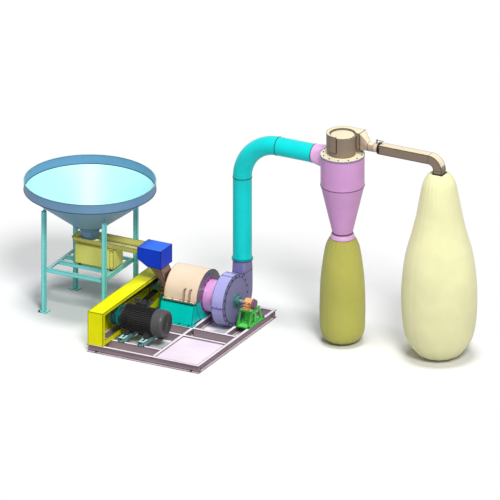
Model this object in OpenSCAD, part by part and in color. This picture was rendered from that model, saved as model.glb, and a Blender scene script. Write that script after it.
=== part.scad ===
// Pulverizer mill with feed hopper, suction fan, cyclone and bags
// Millimetres, +Z up, X along the mill shaft towards the outboard bearing, Y to the back.
// The origin lies on the floor under the shaft, on the underside of the middle skid beam.

/* [Skid] */
// Length of the skid along the shaft
skid_x = 1580; // [1560:10:1700]
// Depth of the skid
skid_y = 2100; // [2080:10:2200]
// Height of the skid channels
channel_h = 100; // [90:1:110]
// Flange width of the skid channels
channel_w = 48; // [40:1:55]
// Web and flange thickness of the skid channels
channel_t = 6; // [5:1:9]
// Thickness of the deck plate
deck_t = 5; // [3:1:8]
// Radius of the anchor bolt holes in the floor flanges and feet
anchor_r = 8; // [6:1:10]

/* [Mill] */
// Height of the mill shaft above the floor
shaft_z = 360; // [355:1:380]
// Outer radius of the grinding chamber
chamber_r = 330; // [310:1:335]
// Wall of the grinding chamber
chamber_t = 8; // [6:1:12]
// Length of the grinding chamber
chamber_l = 465; // [440:5:470]
// Half the width of the mill base at the floor
base_half = 470; // [450:1:475]
// Wall of the mill base
base_t = 10; // [8:1:14]
// Thickness of the liner in the chamber
liner_t = 16; // [10:1:20]
// Number of liner teeth round the whole circle
liner_teeth = 72; // [36:4:90]
// Radius of the mill shaft
shaft_r = 30; // [24:1:35]
// Tip radius of the rotor
rotor_r = 294; // [270:1:296]
// Number of rotor blades
rotor_blades = 16; // [8:1:20]
// Thickness of the rotor discs
rotor_disc_t = 12; // [8:1:16]

/* [Fan] */
// Width of the fan housing along the shaft
fan_w = 171; // [150:1:185]
// Radius of the fan housing
fan_r = 335; // [320:1:345]
// Distance from the shaft to the outer wall of the fan outlet
outlet_far = 457; // [440:1:465]
// Depth of the fan outlet
outlet_d = 222; // [200:1:235]
// Height of the top of the rectangular fan outlet
outlet_z = 625; // [600:5:660]
// Sheet thickness of the fan housing
fan_t = 5; // [3:1:8]
// Number of fan blades
fan_blades = 10; // [6:1:14]

/* [Drive] */
// Depth position of the motor axis in front of the mill shaft
motor_dy = 1040; // [1000:5:1060]
// Height of the motor axis above its feet
motor_h = 180; // [175:1:190]
// Radius of the motor frame over its fins
motor_r = 176; // [160:1:178]
// Number of cooling fins on the motor
fins = 40; // [20:2:48]
// Height of a motor slide rail
rail_h = 55; // [45:1:60]
// Outer radius of the motor pulley
motor_pulley_r = 130; // [110:1:140]
// Outer radius of the mill pulley
mill_pulley_r = 75; // [65:1:90]
// Number of V-belts
belts = 5; // [3:1:5]
// Pitch of the belts along the shaft
belt_pitch = 17; // [16:0.5:17.5]
// Height of the belt guard's top above the floor
guard_z = 540; // [520:5:560]
// Sheet thickness of the belt guard
guard_t = 3; // [2:0.5:5]

/* [Hopper] */
// Radius of the hopper rim
rim_r = 828; // [780:1:850]
// Height of the hopper's straight rim band
rim_h = 122; // [100:1:140]
// Height of the top of the rim above the floor
rim_z = 1705; // [1690:5:1740]
// Sheet thickness of the hopper
hopper_t = 5; // [3:1:8]
// Radius of the hopper spout
spout_r = 120; // [100:1:130]
// Distance between the stand's legs, centre to centre
leg_pitch = 850; // [820:5:880]
// Width of the stand's square legs
leg_w = 50; // [40:1:60]
// Height of the stand's legs
leg_h = 1360; // [1340:5:1400]
// Height of the top of the stand's middle rails
rail_z = 580; // [560:5:590]

/* [Feeder] */
// Half the floor width of the feeder trough
trough_half = 105; // [100:1:106]
// Height of the trough's side walls
trough_wall = 62; // [50:1:70]
// Height of the trough floor's underside above the floor
trough_z = 880; // [875:1:890]
// Sheet thickness of the trough
trough_t = 4; // [3:0.5:6]
// Length of the chute box along the shaft
box_l = 336; // [300:2:340]
// Height of the top of the chute box
box_z = 995; // [985:5:1020]

/* [Ducts] */
// Outer radius of the riser pipe
pipe_r = 120; // [110:1:130]
// Wall of the riser pipe
pipe_t = 4; // [3:0.5:8]
// Height of the top of the fan outlet's square to round piece
riser_z = 790; // [760:5:820]
// Height of the cross pipe's axis
cross_z = 2400; // [2380:5:2420]
// Bend radius of the elbow's axis
elbow_r = 510; // [480:5:540]
// Side of the square exhaust duct
duct_w = 118; // [110:1:125]

/* [Cyclone] */
// Outer radius of the cyclone
cyclone_r = 276; // [270:1:290]
// Height of the cyclone's top flange
cyclone_z = 2530; // [2520:5:2550]
// Length of the cyclone's straight body
cyclone_h = 405; // [380:5:420]
// Height of the cyclone's lower outlet
cyclone_foot = 1425; // [1400:5:1450]
// Outer radius of the cyclone's lower outlet
cyclone_neck = 128; // [120:1:135]
// Radius of the drum on the cyclone
drum_r = 178; // [170:1:182]
// Height of the drum on the cyclone
drum_h = 250; // [230:5:270]

/* [Bags] */
// Largest radius of the product bag
product_r = 288; // [260:1:300]
// Largest radius of the exhaust bag
exhaust_r = 480; // [440:5:500]

/* [Hidden] */
$fn = 64;

// Running gap between a moving piece and its neighbour
gap = 1;
// Skid corner nearest the motor, and its far sides
skid_x0 = -910;
skid_y0 = 520 - skid_y;
skid_x1 = skid_x0 + skid_x;
skid_y1 = skid_y0 + skid_y;
skid_top = channel_h;
// Left edges of the skid beams along Y, and front edges of those along X
beam_mid_x = -12;
beam_left_x = -640;
beam_fan_x = 440;
beam_motor_y = -1330;
beam_middle_y = -780;
beam_mill_y = -518;
// Distance from a skid corner to its anchor hole
anchor_x = 120;
// Grinding chamber
chamber_x1 = -15;
chamber_x0 = chamber_x1 - chamber_l;
end_t = 10;
flange_w = 40;
flange_t = 12;
cover_gap = 0.5;
hinge_y = chamber_r + flange_w + 18;
hinge_z = shaft_z + flange_t + 14;
hinge_r = 8;
neck_r = 203;
neck_t = 5;
base_top = shaft_z - flange_t - 1;
base_foot_t = 12;
blade_depth = 79;
blade_reach = 44;
inlet_y0 = -230;
inlet_y1 = -70;
inlet_z0 = 65;
inlet_z1 = 215;
// Fan housing
fan_x0 = 190;
fan_x1 = fan_x0 + fan_w;
impeller_gap = 45;
hub_r = 58;
outlet_y = outlet_far - outlet_d / 2;
// Bearings
bearing_r = 62;
inner_x = -600;
outer_x = 560;
bearing_l = 110;
shaft_x0 = -802;
shaft_x1 = outer_x + bearing_l / 2 - 4;
// Drive
motor_y = -motor_dy;
motor_z = skid_top + rail_h + motor_h;
motor_x0 = -680;
motor_x1 = -60;
motor_foot_x = [motor_x0 + 121, motor_x0 + 400];
rail_half = 290;
rail_slot_y = 195;
pulley_x0 = -800;
pulley_l = belts * belt_pitch + 5;
belt_in = 9;
belt_out = 1;
belt_seat = 0.5;
guard_x0 = -905;
guard_x1 = -690;
guard_y0 = -1565;
guard_y1 = 90;
// Hopper stand
stand_x = -1566;
stand_y = -245;
cone_r = 230;
cone_z = 1125;
neck_z = 1050;
spout_z = 940;
// Feeder
trough_x0 = -1750;
trough_x1 = -700;
drive_x0 = -1714;
drive_x1 = -1172;
mount_h = 30;
box_x1 = -484;
box_x0 = box_x1 - box_l;
box_half = 147;
box_low = 754;
box_side = 840;
box_t = 4;
// Ducts and cyclone
riser_x = fan_x0 + fan_w / 2;
riser_y = outlet_y;
cross_x0 = riser_x + elbow_r;
cross_x1 = 1290;
cyclone_x = 1768;
cyclone_y = riser_y - (cyclone_r - pipe_r) + 6;
wall = 5;
drum_z = cyclone_z + 12;
duct_y = cyclone_y + 128;
duct_z = drum_z + drum_h / 2 - 10;
throat_x0 = cyclone_x + 175;
throat_x1 = throat_x0 + 215;
ring_x0 = throat_x1 + 60;
duct_x0 = ring_x0 + 24;
bag_x = 3068;
duct_bend = 130;
bag_top = 2475;

module box(x0, x1, y0, y1, z0, z1) {
    translate([x0, y0, z0]) cube([x1 - x0, y1 - y0, z1 - z0]);
}

// Extrudes a drawing of (Y, Z) along X
module along_x(x0, x1) {
    translate([x0, 0, 0]) rotate([90, 0, 90]) linear_extrude(x1 - x0) children();
}

// Extrudes a drawing of (X, Z) along Y
module along_y(y0, y1) {
    translate([0, y1, 0]) rotate([90, 0, 0]) linear_extrude(y1 - y0) children();
}

module rod_x(x0, x1, r, y, z) {
    translate([x0, y, z]) rotate([0, 90, 0]) cylinder(h = x1 - x0, r = r);
}

module tube_x(x0, x1, r, bore, y, z) {
    difference() {
        rod_x(x0, x1, r, y, z);
        rod_x(x0 - 1, x1 + 1, bore, y, z);
    }
}

module hex_x(x0, x1, r, y, z) {
    translate([x0, y, z]) rotate([0, 90, 0]) cylinder(h = x1 - x0, r = r, $fn = 6);
}

// A channel section whose web is at x = 0 and whose flanges point along +X
module channel_2d() {
    polygon([[0, 0], [channel_w, 0], [channel_w, channel_t], [channel_t, channel_t],
        [channel_t, channel_h - channel_t], [channel_w, channel_h - channel_t],
        [channel_w, channel_h], [0, channel_h]]);
}

module skid_rails() color([0.86, 0.78, 0.84]) {
    for (front = [1, -1]) {
        y = front > 0 ? skid_y0 + channel_w : skid_y1 - channel_w;
        difference() {
            translate([0, y, 0]) along_x(skid_x0, skid_x1)
                mirror([front > 0 ? 1 : 0, 0]) channel_2d();
            for (x = [skid_x0 + anchor_x, skid_x1 - anchor_x])
                translate([x, y - front * (channel_w + channel_t) / 2, -1])
                    cylinder(h = channel_t + 2, r = anchor_r);
        }
    }
    for (left = [1, -1]) {
        x = left > 0 ? skid_x0 + channel_w : skid_x1 - channel_w;
        translate([x, 0, 0]) along_y(skid_y0 + channel_w, skid_y1 - channel_w)
            mirror([left > 0 ? 1 : 0, 0]) channel_2d();
    }
}

module skid_beams() color([0.80, 0.72, 0.78]) {
    y_in = skid_y0 + channel_w;
    y_out = skid_y1 - channel_w;
    x_in = skid_x0 + channel_w;
    x_out = skid_x1 - channel_w;
    translate([beam_mid_x, 0, 0]) along_y(y_in, y_out) channel_2d();
    translate([beam_fan_x, 0, 0]) along_y(beam_mill_y + channel_w, y_out) channel_2d();
    translate([beam_left_x, 0, 0]) along_y(beam_mill_y + channel_w, y_out) channel_2d();
    for (y = [beam_motor_y, beam_middle_y, beam_mill_y])
        translate([0, y, 0]) along_x(x_in, beam_mid_x) channel_2d();
    for (y = [beam_middle_y, beam_mill_y])
        translate([0, y, 0]) along_x(beam_mid_x + channel_w, x_out) channel_2d();
}

module deck_plate() color([0.97, 0.90, 0.97])
    box(beam_mid_x + channel_t, skid_x1 - channel_w, skid_y0 + channel_w, beam_middle_y,
        skid_top - 14 - deck_t, skid_top - 14);

module motor_rails() color([0.62, 0.85, 0.85])
    for (x = motor_foot_x) difference() {
        box(x - 45, x + 45, motor_y - rail_half, motor_y + rail_half, skid_top, skid_top + rail_h);
        box(x - 37, x + 37, motor_y - rail_half - 1, motor_y + rail_half + 1, skid_top + 8,
            skid_top + rail_h - 8);
        for (side = [-1, 1])
            box(x - 10, x + 10, motor_y + side * rail_slot_y - 55, motor_y + side * rail_slot_y + 55,
                skid_top + rail_h - 9, skid_top + rail_h + 1);
    }

// A round frame with radial fins, two feet and a bored front
module motor_frame() color([0.16, 0.16, 0.17]) difference() {
    union() {
        rod_x(motor_x0 + 40, motor_x1 - 150, motor_r - 26, motor_y, motor_z);
        for (i = [0 : fins - 1]) {
            a = i * 360 / fins;
            if (sin(a) > -0.75 && !(cos(a) > 0.2 && sin(a) > 0.8))
                translate([0, motor_y, motor_z]) rotate([a, 0, 0])
                    box(motor_x0 + 60, motor_x1 - 165, motor_r - 30, motor_r, -2.5, 2.5);
        }
        for (x = motor_foot_x) for (side = [-1, 1])
            motor_foot(x, side);
    }
    rod_x(motor_x0 - 1, motor_x1, 31, motor_y, motor_z);
}

// One cast foot of the motor, splayed out to its bolt pad
module motor_foot(x, side)
    translate([0, motor_y, 0]) along_x(x - 35, x + 35)
        polygon([[side * 60, motor_z - motor_r + 45], [side * 120, motor_z - 100],
            [side * 170, motor_z - motor_h + 18], [side * 170, motor_z - motor_h],
            [side * 60, motor_z - motor_h]]);

module motor_end_bell() color([0.20, 0.20, 0.21]) {
    translate([motor_x0, motor_y, motor_z]) rotate([0, 90, 0]) rotate_extrude()
        polygon([[24.05, 0], [70, 0], [85, 12], [motor_r - 30, 30], [motor_r - 22, 30],
            [motor_r - 22, 40], [24.05, 40]]);
}

module motor_cowl() color([0.30, 0.30, 0.31])
    translate([motor_x1 - 150, motor_y, motor_z]) rotate([0, 90, 0]) rotate_extrude()
        polygon([[31, 0], [motor_r - 2, 0], [motor_r - 2, 118], [motor_r - 12, 138],
            [motor_r - 34, 150], [0, 150], [0, 144], [motor_r - 36, 144], [motor_r - 18, 134],
            [motor_r - 8, 116], [motor_r - 8, 6], [31, 6]]);

module terminal_box() color([0.18, 0.18, 0.19])
    translate([0, motor_y, motor_z]) rotate([-28, 0, 0]) {
        box(motor_x0 + 130, motor_x0 + 290, -60, 60, motor_r + 0.3, motor_r + 56);
        box(motor_x0 + 124, motor_x0 + 296, -66, 66, motor_r + 56, motor_r + 66);
    }

module motor_shaft() color([0.75, 0.76, 0.78])
    rod_x(pulley_x0 - 4, motor_x1 - 160, 24, motor_y, motor_z);

// A grooved wheel with a hub, bored for its shaft
module pulley(r, bore) {
    rotate([0, 90, 0]) rotate_extrude() difference() {
        translate([bore, 0]) square([r - bore, pulley_l]);
        for (i = [0 : belts - 1])
            translate([r - belt_in - 1, 2.5 + i * belt_pitch + 1.5])
                square([belt_in + 2, belt_pitch - 3]);
        if (r > bore + 60) {
            translate([bore + 18, pulley_l - 24]) square([r - bore - 44, 25]);
            translate([bore + 18, -1]) square([r - bore - 44, 25]);
        }
    }
}

module motor_pulley() color([0.10, 0.62, 0.62])
    translate([pulley_x0, motor_y, motor_z]) pulley(motor_pulley_r, 24);

module mill_pulley() color([0.45, 0.70, 0.55])
    translate([pulley_x0, 0, shaft_z]) pulley(mill_pulley_r, shaft_r);

// The outline of a belt round both pulleys, shifted outward by d
module belt_outline(d) {
    r1 = motor_pulley_r - belt_in + d;
    r2 = mill_pulley_r - belt_in + d;
    dy = motor_dy;
    dz = shaft_z - motor_z;
    span = sqrt(dy * dy + dz * dz);
    tilt = atan2(dz, dy);
    a = acos((r1 - r2) / span);
    up = tilt + a;
    down = tilt - a;
    translate([motor_y, motor_z]) circle(r = r1);
    translate([0, shaft_z]) circle(r = r2);
    polygon([[motor_y + r1 * cos(up), motor_z + r1 * sin(up)],
        [r2 * cos(up), shaft_z + r2 * sin(up)],
        [r2 * cos(down), shaft_z + r2 * sin(down)],
        [motor_y + r1 * cos(down), motor_z + r1 * sin(down)]]);
}

module v_belts() color([0.12, 0.12, 0.12])
    for (i = [0 : belts - 1]) {
        x = pulley_x0 + 2.5 + i * belt_pitch + 2.5;
        along_x(x, x + belt_pitch - 5) difference() {
            belt_outline(belt_in + belt_out);
            belt_outline(belt_seat);
        }
    }

module belt_guard() color([1.0, 0.95, 0.05]) difference() {
    box(guard_x0, guard_x1, guard_y0, guard_y1, skid_top, guard_z);
    box(guard_x0 + guard_t, guard_x1 - guard_t, guard_y0 + guard_t, guard_y1 - guard_t,
        skid_top - 1, guard_z - guard_t);
    along_x(guard_x1 - guard_t - 1, guard_x1 + 1)
        polygon([[guard_y0 + 60, skid_top + 70], [guard_y0 + 60, guard_z - 40],
            [guard_y1 - 25, guard_z - 40], [guard_y1 - 25, shaft_z - 110],
            [-380, skid_top + 70]]);
}

module guard_brackets() color([0.95, 0.88, 0.10])
    for (y = [-520, -330]) {
        box(guard_x1, guard_x1 + 110, y, y + 40, skid_top, skid_top + 6);
        box(guard_x1, guard_x1 + 6, y, y + 40, skid_top + 6, skid_top + 60);
    }

module mill_base() color([0.0, 0.78, 0.78]) {
    difference() {
        along_x(chamber_x0, chamber_x1)
            polygon([[-base_half, skid_top + base_foot_t], [base_half, skid_top + base_foot_t],
                [405, base_top], [-405, base_top]]);
        along_x(chamber_x0 + base_t, chamber_x1 - base_t)
            polygon([[-base_half + base_t, skid_top], [base_half - base_t, skid_top],
                [405 - base_t, base_top + 1], [base_t - 405, base_top + 1]]);
        rod_x(chamber_x0 - 1, chamber_x1 + 1, chamber_r + 0.5, 0, shaft_z);
    }
    for (side = [-1, 1])
        box(chamber_x0 - 20, chamber_x1 + 30, side > 0 ? base_half - 60 : -base_half - 30,
            side > 0 ? base_half + 30 : -base_half + 60, skid_top, skid_top + base_foot_t);
}

// Half of the chamber's wall as a drawing, below the shaft for side -1 and above it for +1
module half_ring(r_out, r_in, side, cut) {
    difference() {
        circle(r = r_out, $fn = 96);
        circle(r = r_in, $fn = 96);
        translate([-r_out - 1, side > 0 ? -r_out - 1 + cut : -cut])
            square([2 * r_out + 2, r_out + 1]);
    }
}

module lower_chamber() color([0.05, 0.66, 0.68]) translate([0, 0, shaft_z]) {
    along_x(chamber_x0, chamber_x1) half_ring(chamber_r, chamber_r - chamber_t, -1, 0);
    along_x(chamber_x0, chamber_x0 + end_t) half_ring(chamber_r - 2, shaft_r + 6, -1, 0);
    along_x(chamber_x1 - end_t, chamber_x1) half_ring(chamber_r - 2, neck_r - neck_t, -1, 0);
    for (side = [-1, 1])
        box(chamber_x0, chamber_x1, side > 0 ? chamber_r - 5 : -chamber_r - flange_w,
            side > 0 ? chamber_r + flange_w : 5 - chamber_r, -flange_t, 0);
}

module chamber_cover() color([0.96, 0.84, 0.72]) translate([0, 0, shaft_z]) {
    difference() {
        union() {
            along_x(chamber_x0, chamber_x1) half_ring(chamber_r, chamber_r - chamber_t, 1, cover_gap);
            along_x(chamber_x0, chamber_x0 + end_t)
                half_ring(chamber_r - 2, shaft_r + 6, 1, cover_gap);
            along_x(chamber_x1 - end_t, chamber_x1)
                half_ring(chamber_r - 2, neck_r - neck_t, 1, cover_gap);
        }
        box(chamber_x0 - 1, chamber_x0 + end_t + 1, inlet_y0 + 5, inlet_y1 - 5, inlet_z0 + 5, inlet_z1 - 5);
    }
    for (side = [-1, 1])
        box(chamber_x0, chamber_x1, side > 0 ? chamber_r - 5 : -chamber_r - flange_w,
            side > 0 ? chamber_r + flange_w - gap : 5 - chamber_r, cover_gap, flange_t);
    // Knuckles on the hinge side
    for (x = [chamber_x0 + 60, chamber_x1 - 100])
        difference() {
            union() {
                rod_x(x, x + 40, 16, hinge_y, hinge_z - shaft_z);
                box(x, x + 40, chamber_r + 5, hinge_y, flange_t, hinge_z - shaft_z + 16);
            }
            rod_x(x - 1, x + 41, hinge_r + 0.05, hinge_y, hinge_z - shaft_z);
        }
}

// Two grab bars that stand on the flange and lean back against the chamber
module cover_handles() color([0.93, 0.80, 0.66])
    for (x = [chamber_x1 - 170, chamber_x1 - 90])
        along_x(x - 8, x + 8) {
            foot = -chamber_r - 30;
            z0 = shaft_z + flange_t;
            top = 150;
            rest_y = -sqrt(chamber_r * chamber_r - pow(top + flange_t - 9, 2)) - 0.3;
            polygon([[foot - 12, z0], [foot + 12, z0], [foot + 12, z0 + 12], [foot + 9, z0 + 12],
                [foot + 30, z0 + top - 9], [rest_y, z0 + top - 9], [rest_y, z0 + top + 9],
                [foot + 14, z0 + top + 9], [foot - 9, z0 + 12], [foot - 12, z0 + 12]]);
        }

module cover_screws() color([0.75, 0.68, 0.60])
    for (i = [0 : 4])
        translate([chamber_x0 + 35 + i * 105, -chamber_r - 22, shaft_z + flange_t]) {
            cylinder(h = 12, r = 13, $fn = 6);
            translate([0, 0, 12]) cylinder(h = 8, r = 7);
        }

module hinge_lugs() color([0.05, 0.66, 0.68])
    for (x = [chamber_x0 + 60, chamber_x1 - 100]) for (dx = [-13, 41])
        difference() {
            union() {
                rod_x(x + dx, x + dx + 12, 16, hinge_y, hinge_z);
                box(x + dx, x + dx + 12, chamber_r + flange_w, hinge_y + 16, shaft_z - flange_t, hinge_z);
            }
            rod_x(x + dx - 1, x + dx + 13, hinge_r, hinge_y, hinge_z);
        }

module hinge_pin() color([0.80, 0.80, 0.80])
    for (x = [chamber_x0 + 60, chamber_x1 - 100])
        rod_x(x - 20, x + 60, hinge_r - 0.01, hinge_y, hinge_z);

// Toothed liner round the inside of the chamber
module liner_2d(side, cut) {
    r_out = chamber_r - chamber_t;
    r_in = r_out - liner_t;
    difference() {
        circle(r = r_out, $fn = 96);
        polygon([for (i = [0 : 2 * liner_teeth - 1])
            let (r = i % 2 == 0 ? r_in : r_in + 7, a = i * 180 / liner_teeth)
            [r * cos(a), r * sin(a)]]);
        translate([-r_out - 1, side > 0 ? -r_out - 1 + cut : -cut])
            square([2 * r_out + 2, r_out + 1]);
    }
}

module lower_liner() color([0.55, 0.56, 0.58]) translate([0, 0, shaft_z])
    along_x(chamber_x0 + end_t, chamber_x1 - end_t) liner_2d(-1, 0);

module upper_liner() color([0.55, 0.56, 0.58]) translate([0, 0, shaft_z])
    along_x(chamber_x0 + end_t, chamber_x1 - end_t) liner_2d(1, cover_gap);

module main_shaft() color([0.78, 0.79, 0.81])
    rod_x(shaft_x0, shaft_x1, shaft_r, 0, shaft_z);

module rotor() color([0.50, 0.51, 0.54]) translate([0, 0, shaft_z]) {
    x0 = chamber_x0 + end_t + 14;
    x1 = chamber_x1 - end_t - 14;
    difference() {
        union() {
            rod_x(x0, x1, 60, 0, 0);
            for (x = [x0, (x0 + x1 - rotor_disc_t) / 2, x1 - rotor_disc_t])
                rod_x(x, x + rotor_disc_t, rotor_r - blade_reach, 0, 0);
            for (i = [0 : rotor_blades - 1])
                rotate([i * 360 / rotor_blades, 0, 0]) box(x0, x1, rotor_r - blade_depth, rotor_r, -4, 4);
        }
        rod_x(x0 - 1, x1 + 1, shaft_r, 0, 0);
    }
}

module fan_impeller() color([0.58, 0.60, 0.64]) translate([0, 0, shaft_z]) {
    x0 = fan_x0 + fan_t + 12;
    x1 = fan_x1 - fan_t - 12;
    difference() {
        union() {
            rod_x(x1 - 8, x1, fan_r - impeller_gap - 20, 0, 0);
            rod_x(x0 + 20, x1, hub_r, 0, 0);
            for (i = [0 : fan_blades - 1])
                rotate([i * 360 / fan_blades, 0, 0])
                    box(x0, x1 - 4, hub_r - 2, fan_r - impeller_gap, -3, 3);
        }
        rod_x(x0 - 1, x1 + 1, shaft_r, 0, 0);
    }
}

// A split bearing housing on its feet
module bearing(x) {
    translate([0, 0, shaft_z]) difference() {
        union() {
            rod_x(x - bearing_l / 2, x + bearing_l / 2, bearing_r, 0, 0);
            box(x - bearing_l / 2 + 8, x + bearing_l / 2 - 8, -112, 112, -bearing_r, -bearing_r + 30);
            box(x - bearing_l / 2 + 12, x + bearing_l / 2 - 12, -92, 92, -18, 18);
        }
        rod_x(x - bearing_l / 2 - 1, x + bearing_l / 2 + 1, shaft_r + 0.05, 0, 0);
    }
    for (side = [-1, 1]) for (dx = [-26, 26])
        translate([x + dx, side * 78, shaft_z + 18]) cylinder(h = 14, r = 11, $fn = 6);
}

module inner_bearing() color([0.95, 0.68, 0.42]) bearing(inner_x);
module outer_bearing() color([0.95, 0.68, 0.42]) bearing(outer_x);

// A fabricated pedestal: sloping end plates, a top plate and a foot plate
module pedestal(x, half_l, half_w) {
    z1 = shaft_z - bearing_r;
    z0 = skid_top;
    box(x - half_l, x + half_l, -half_w, half_w, z0, z0 + 14);
    box(x - half_l + 20, x + half_l - 20, -118, 118, z1 - 16, z1);
    for (s = [-1, 1])
        along_x(x + s * (half_l - 30) - 6, x + s * (half_l - 30) + 6) difference() {
            polygon([[-half_w + 10, z0 + 14], [half_w - 10, z0 + 14], [112, z1 - 16], [-112, z1 - 16]]);
            polygon([[-half_w + 80, z0 + 40], [-30, z0 + 40], [-30, z1 - 50], [-95, z1 - 50]]);
            polygon([[half_w - 80, z0 + 40], [30, z0 + 40], [30, z1 - 50], [95, z1 - 50]]);
        }
    box(x - half_l + 36, x + half_l - 36, -7, 7, z0 + 14, z1 - 16);
}

module inner_pedestal() color([0.0, 0.78, 0.78]) pedestal(inner_x, 68, 180);
module outer_pedestal() color([0.25, 0.72, 0.35]) pedestal(outer_x, 106, 212);

module bearing_end_cap() color([0.58, 0.40, 0.55])
    translate([0, 0, shaft_z]) difference() {
        rod_x(outer_x + bearing_l / 2, outer_x + bearing_l / 2 + 26, 56, 0, 0);
        rod_x(outer_x + bearing_l / 2 - 1, outer_x + bearing_l / 2 + 6, shaft_r + 2, 0, 0);
    }

module inlet_neck() color([0.88, 0.62, 0.86]) translate([0, 0, shaft_z]) {
    tube_x(chamber_x1 + gap, fan_x0, neck_r, neck_r - neck_t, 0, 0);
    tube_x(chamber_x1 + gap, chamber_x1 + gap + 8, neck_r + 26, neck_r - 1, 0, 0);
    tube_x(fan_x0 - 8, fan_x0, neck_r + 26, neck_r - 1, 0, 0);
}

// The fan housing's outline seen along the shaft, drawn in by d
module volute(d) {
    circle(r = fan_r - d, $fn = 96);
    polygon(concat([[0, 0]], [for (i = [0 : 15])
        let (a = 270 + i * 6) [(outlet_far - d) * cos(a), (fan_r - d) * sin(a)]],
        [[outlet_far - d, 0], [0, 0]]));
    translate([outlet_far - outlet_d + d, 0])
        square([outlet_d - 2 * d, outlet_z - shaft_z]);
}

module fan_housing() color([0.58, 0.56, 0.78]) translate([0, 0, shaft_z]) difference() {
    along_x(fan_x0, fan_x1 - fan_t) volute(0);
    along_x(fan_x0 + fan_t, fan_x1) volute(fan_t);
    along_x(fan_x0 + fan_t, fan_x1 - fan_t - gap)
        translate([outlet_far - outlet_d + fan_t, outlet_z - shaft_z - 20])
            square([outlet_d - 2 * fan_t, 30]);
    rod_x(fan_x0 - 1, fan_x0 + fan_t + 1, neck_r - neck_t, 0, 0);
}

module fan_front_plate() color([0.54, 0.52, 0.72]) translate([0, 0, shaft_z]) difference() {
    union() {
        along_x(fan_x1 - fan_t, fan_x1) volute(0);
        rod_x(fan_x1, fan_x1 + 6, fan_r - 42, 0, 0);
    }
    rod_x(fan_x1 - fan_t - 1, fan_x1 + 8, shaft_r + 8, 0, 0);
}

module fan_plate_bolts() color([0.30, 0.30, 0.38]) translate([0, 0, shaft_z])
    for (i = [0 : 19]) rotate([i * 18, 0, 0])
        hex_x(fan_x1, fan_x1 + 9, 9, fan_r - 20, 0);

module shaft_seal() color([0.30, 0.45, 0.45]) translate([0, 0, shaft_z]) {
    tube_x(fan_x1 + 6, fan_x1 + 18, 92, shaft_r + 2, 0, 0);
    tube_x(fan_x1 + 18, fan_x1 + 60, 62, shaft_r + 2, 0, 0);
    for (i = [0 : 7]) rotate([22.5 + i * 45, 0, 0]) hex_x(fan_x1 + 18, fan_x1 + 26, 8, 77, 0);
}

// A square to round piece from the fan outlet up to the riser
module outlet_transition() color([0.58, 0.56, 0.78]) difference() {
    union() {
        transition(0);
        translate([riser_x, riser_y, riser_z - 10]) cylinder(h = 10, r = pipe_r + 14);
    }
    transition(pipe_t);
    translate([riser_x, riser_y, riser_z - 11]) cylinder(h = 12, r = pipe_r - pipe_t);
}

module transition(d) hull() {
    box(fan_x0 + d, fan_x1 - d, riser_y - outlet_d / 2 + d, riser_y + outlet_d / 2 - d,
        outlet_z - (d > 0 ? 1 : 0), outlet_z + 12);
    translate([riser_x, riser_y, riser_z - 14]) cylinder(h = d > 0 ? 15 : 14, r = pipe_r - d, $fn = 32);
}

module riser_pipe() color([0.0, 0.80, 0.80]) translate([riser_x, riser_y, 0]) difference() {
    union() {
        translate([0, 0, riser_z]) cylinder(h = cross_z - elbow_r - riser_z, r = pipe_r);
        translate([0, 0, riser_z]) cylinder(h = 10, r = pipe_r + 14);
    }
    translate([0, 0, riser_z - 1]) cylinder(h = cross_z, r = pipe_r - pipe_t);
}

module pipe_elbow() color([0.0, 0.90, 0.90])
    translate([riser_x + elbow_r, riser_y, cross_z - elbow_r]) rotate([90, 0, 0]) rotate([0, 0, 90])
        rotate_extrude(angle = 90) translate([elbow_r, 0]) difference() {
            circle(r = pipe_r);
            circle(r = pipe_r - pipe_t);
        }

module cross_pipe() color([0.0, 0.90, 0.90])
    tube_x(cross_x0, cross_x1, pipe_r, pipe_r - pipe_t, riser_y, cross_z);

// Round at the cross pipe, rectangular where it runs into the cyclone's side
module cyclone_inlet() color([0.92, 0.72, 0.92]) difference() {
    hull() {
        rod_x(cross_x1, cross_x1 + 20, pipe_r, riser_y, cross_z, $fn = 32);
        box(cyclone_x - cyclone_r - 60, cyclone_x - cyclone_r - 40, riser_y - 100, riser_y + 90,
            cross_z - 115, cross_z + 110);
    }
    hull() {
        rod_x(cross_x1 - 1, cross_x1 + 20, pipe_r - wall, riser_y, cross_z, $fn = 32);
        box(cyclone_x - cyclone_r - 60, cyclone_x - cyclone_r - 39, riser_y - 95, riser_y + 85,
            cross_z - 110, cross_z + 105);
    }
}

module cyclone_body() color([0.86, 0.60, 0.86]) translate([cyclone_x, cyclone_y, 0]) {
    z2 = cyclone_z - cyclone_h;
    z1 = cyclone_foot + 60;
    y_in = riser_y - cyclone_y;
    difference() {
        union() {
            rotate_extrude($fn = 96) polygon([[0, cyclone_foot], [cyclone_neck, cyclone_foot],
                [cyclone_neck, z1], [cyclone_r, z2], [cyclone_r, cyclone_z], [0, cyclone_z]]);
            box(-cyclone_r - 40, 0, y_in - 100, y_in + 90, cross_z - 115, cross_z + 110);
            translate([0, 0, cyclone_z - 10]) cylinder(h = 10, r = cyclone_r + 4);
        }
        rotate_extrude($fn = 96) polygon([[0, cyclone_foot - 1], [cyclone_neck - wall, cyclone_foot - 1],
            [cyclone_neck - wall, z1], [cyclone_r - wall, z2], [cyclone_r - wall, cyclone_z + 1],
            [0, cyclone_z + 1]]);
        box(-cyclone_r - 41, 0, y_in - 95, y_in + 85, cross_z - 110, cross_z + 105);
    }
}

module cyclone_lid() color([0.94, 0.90, 0.80]) translate([cyclone_x, cyclone_y, 0]) difference() {
    union() {
        translate([0, 0, cyclone_z]) cylinder(h = 12, r = cyclone_r + 4);
        translate([0, 0, cyclone_z - 330]) cylinder(h = 331, r = 115);
    }
    translate([0, 0, cyclone_z - 331]) cylinder(h = 350, r = 110);
}

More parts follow.
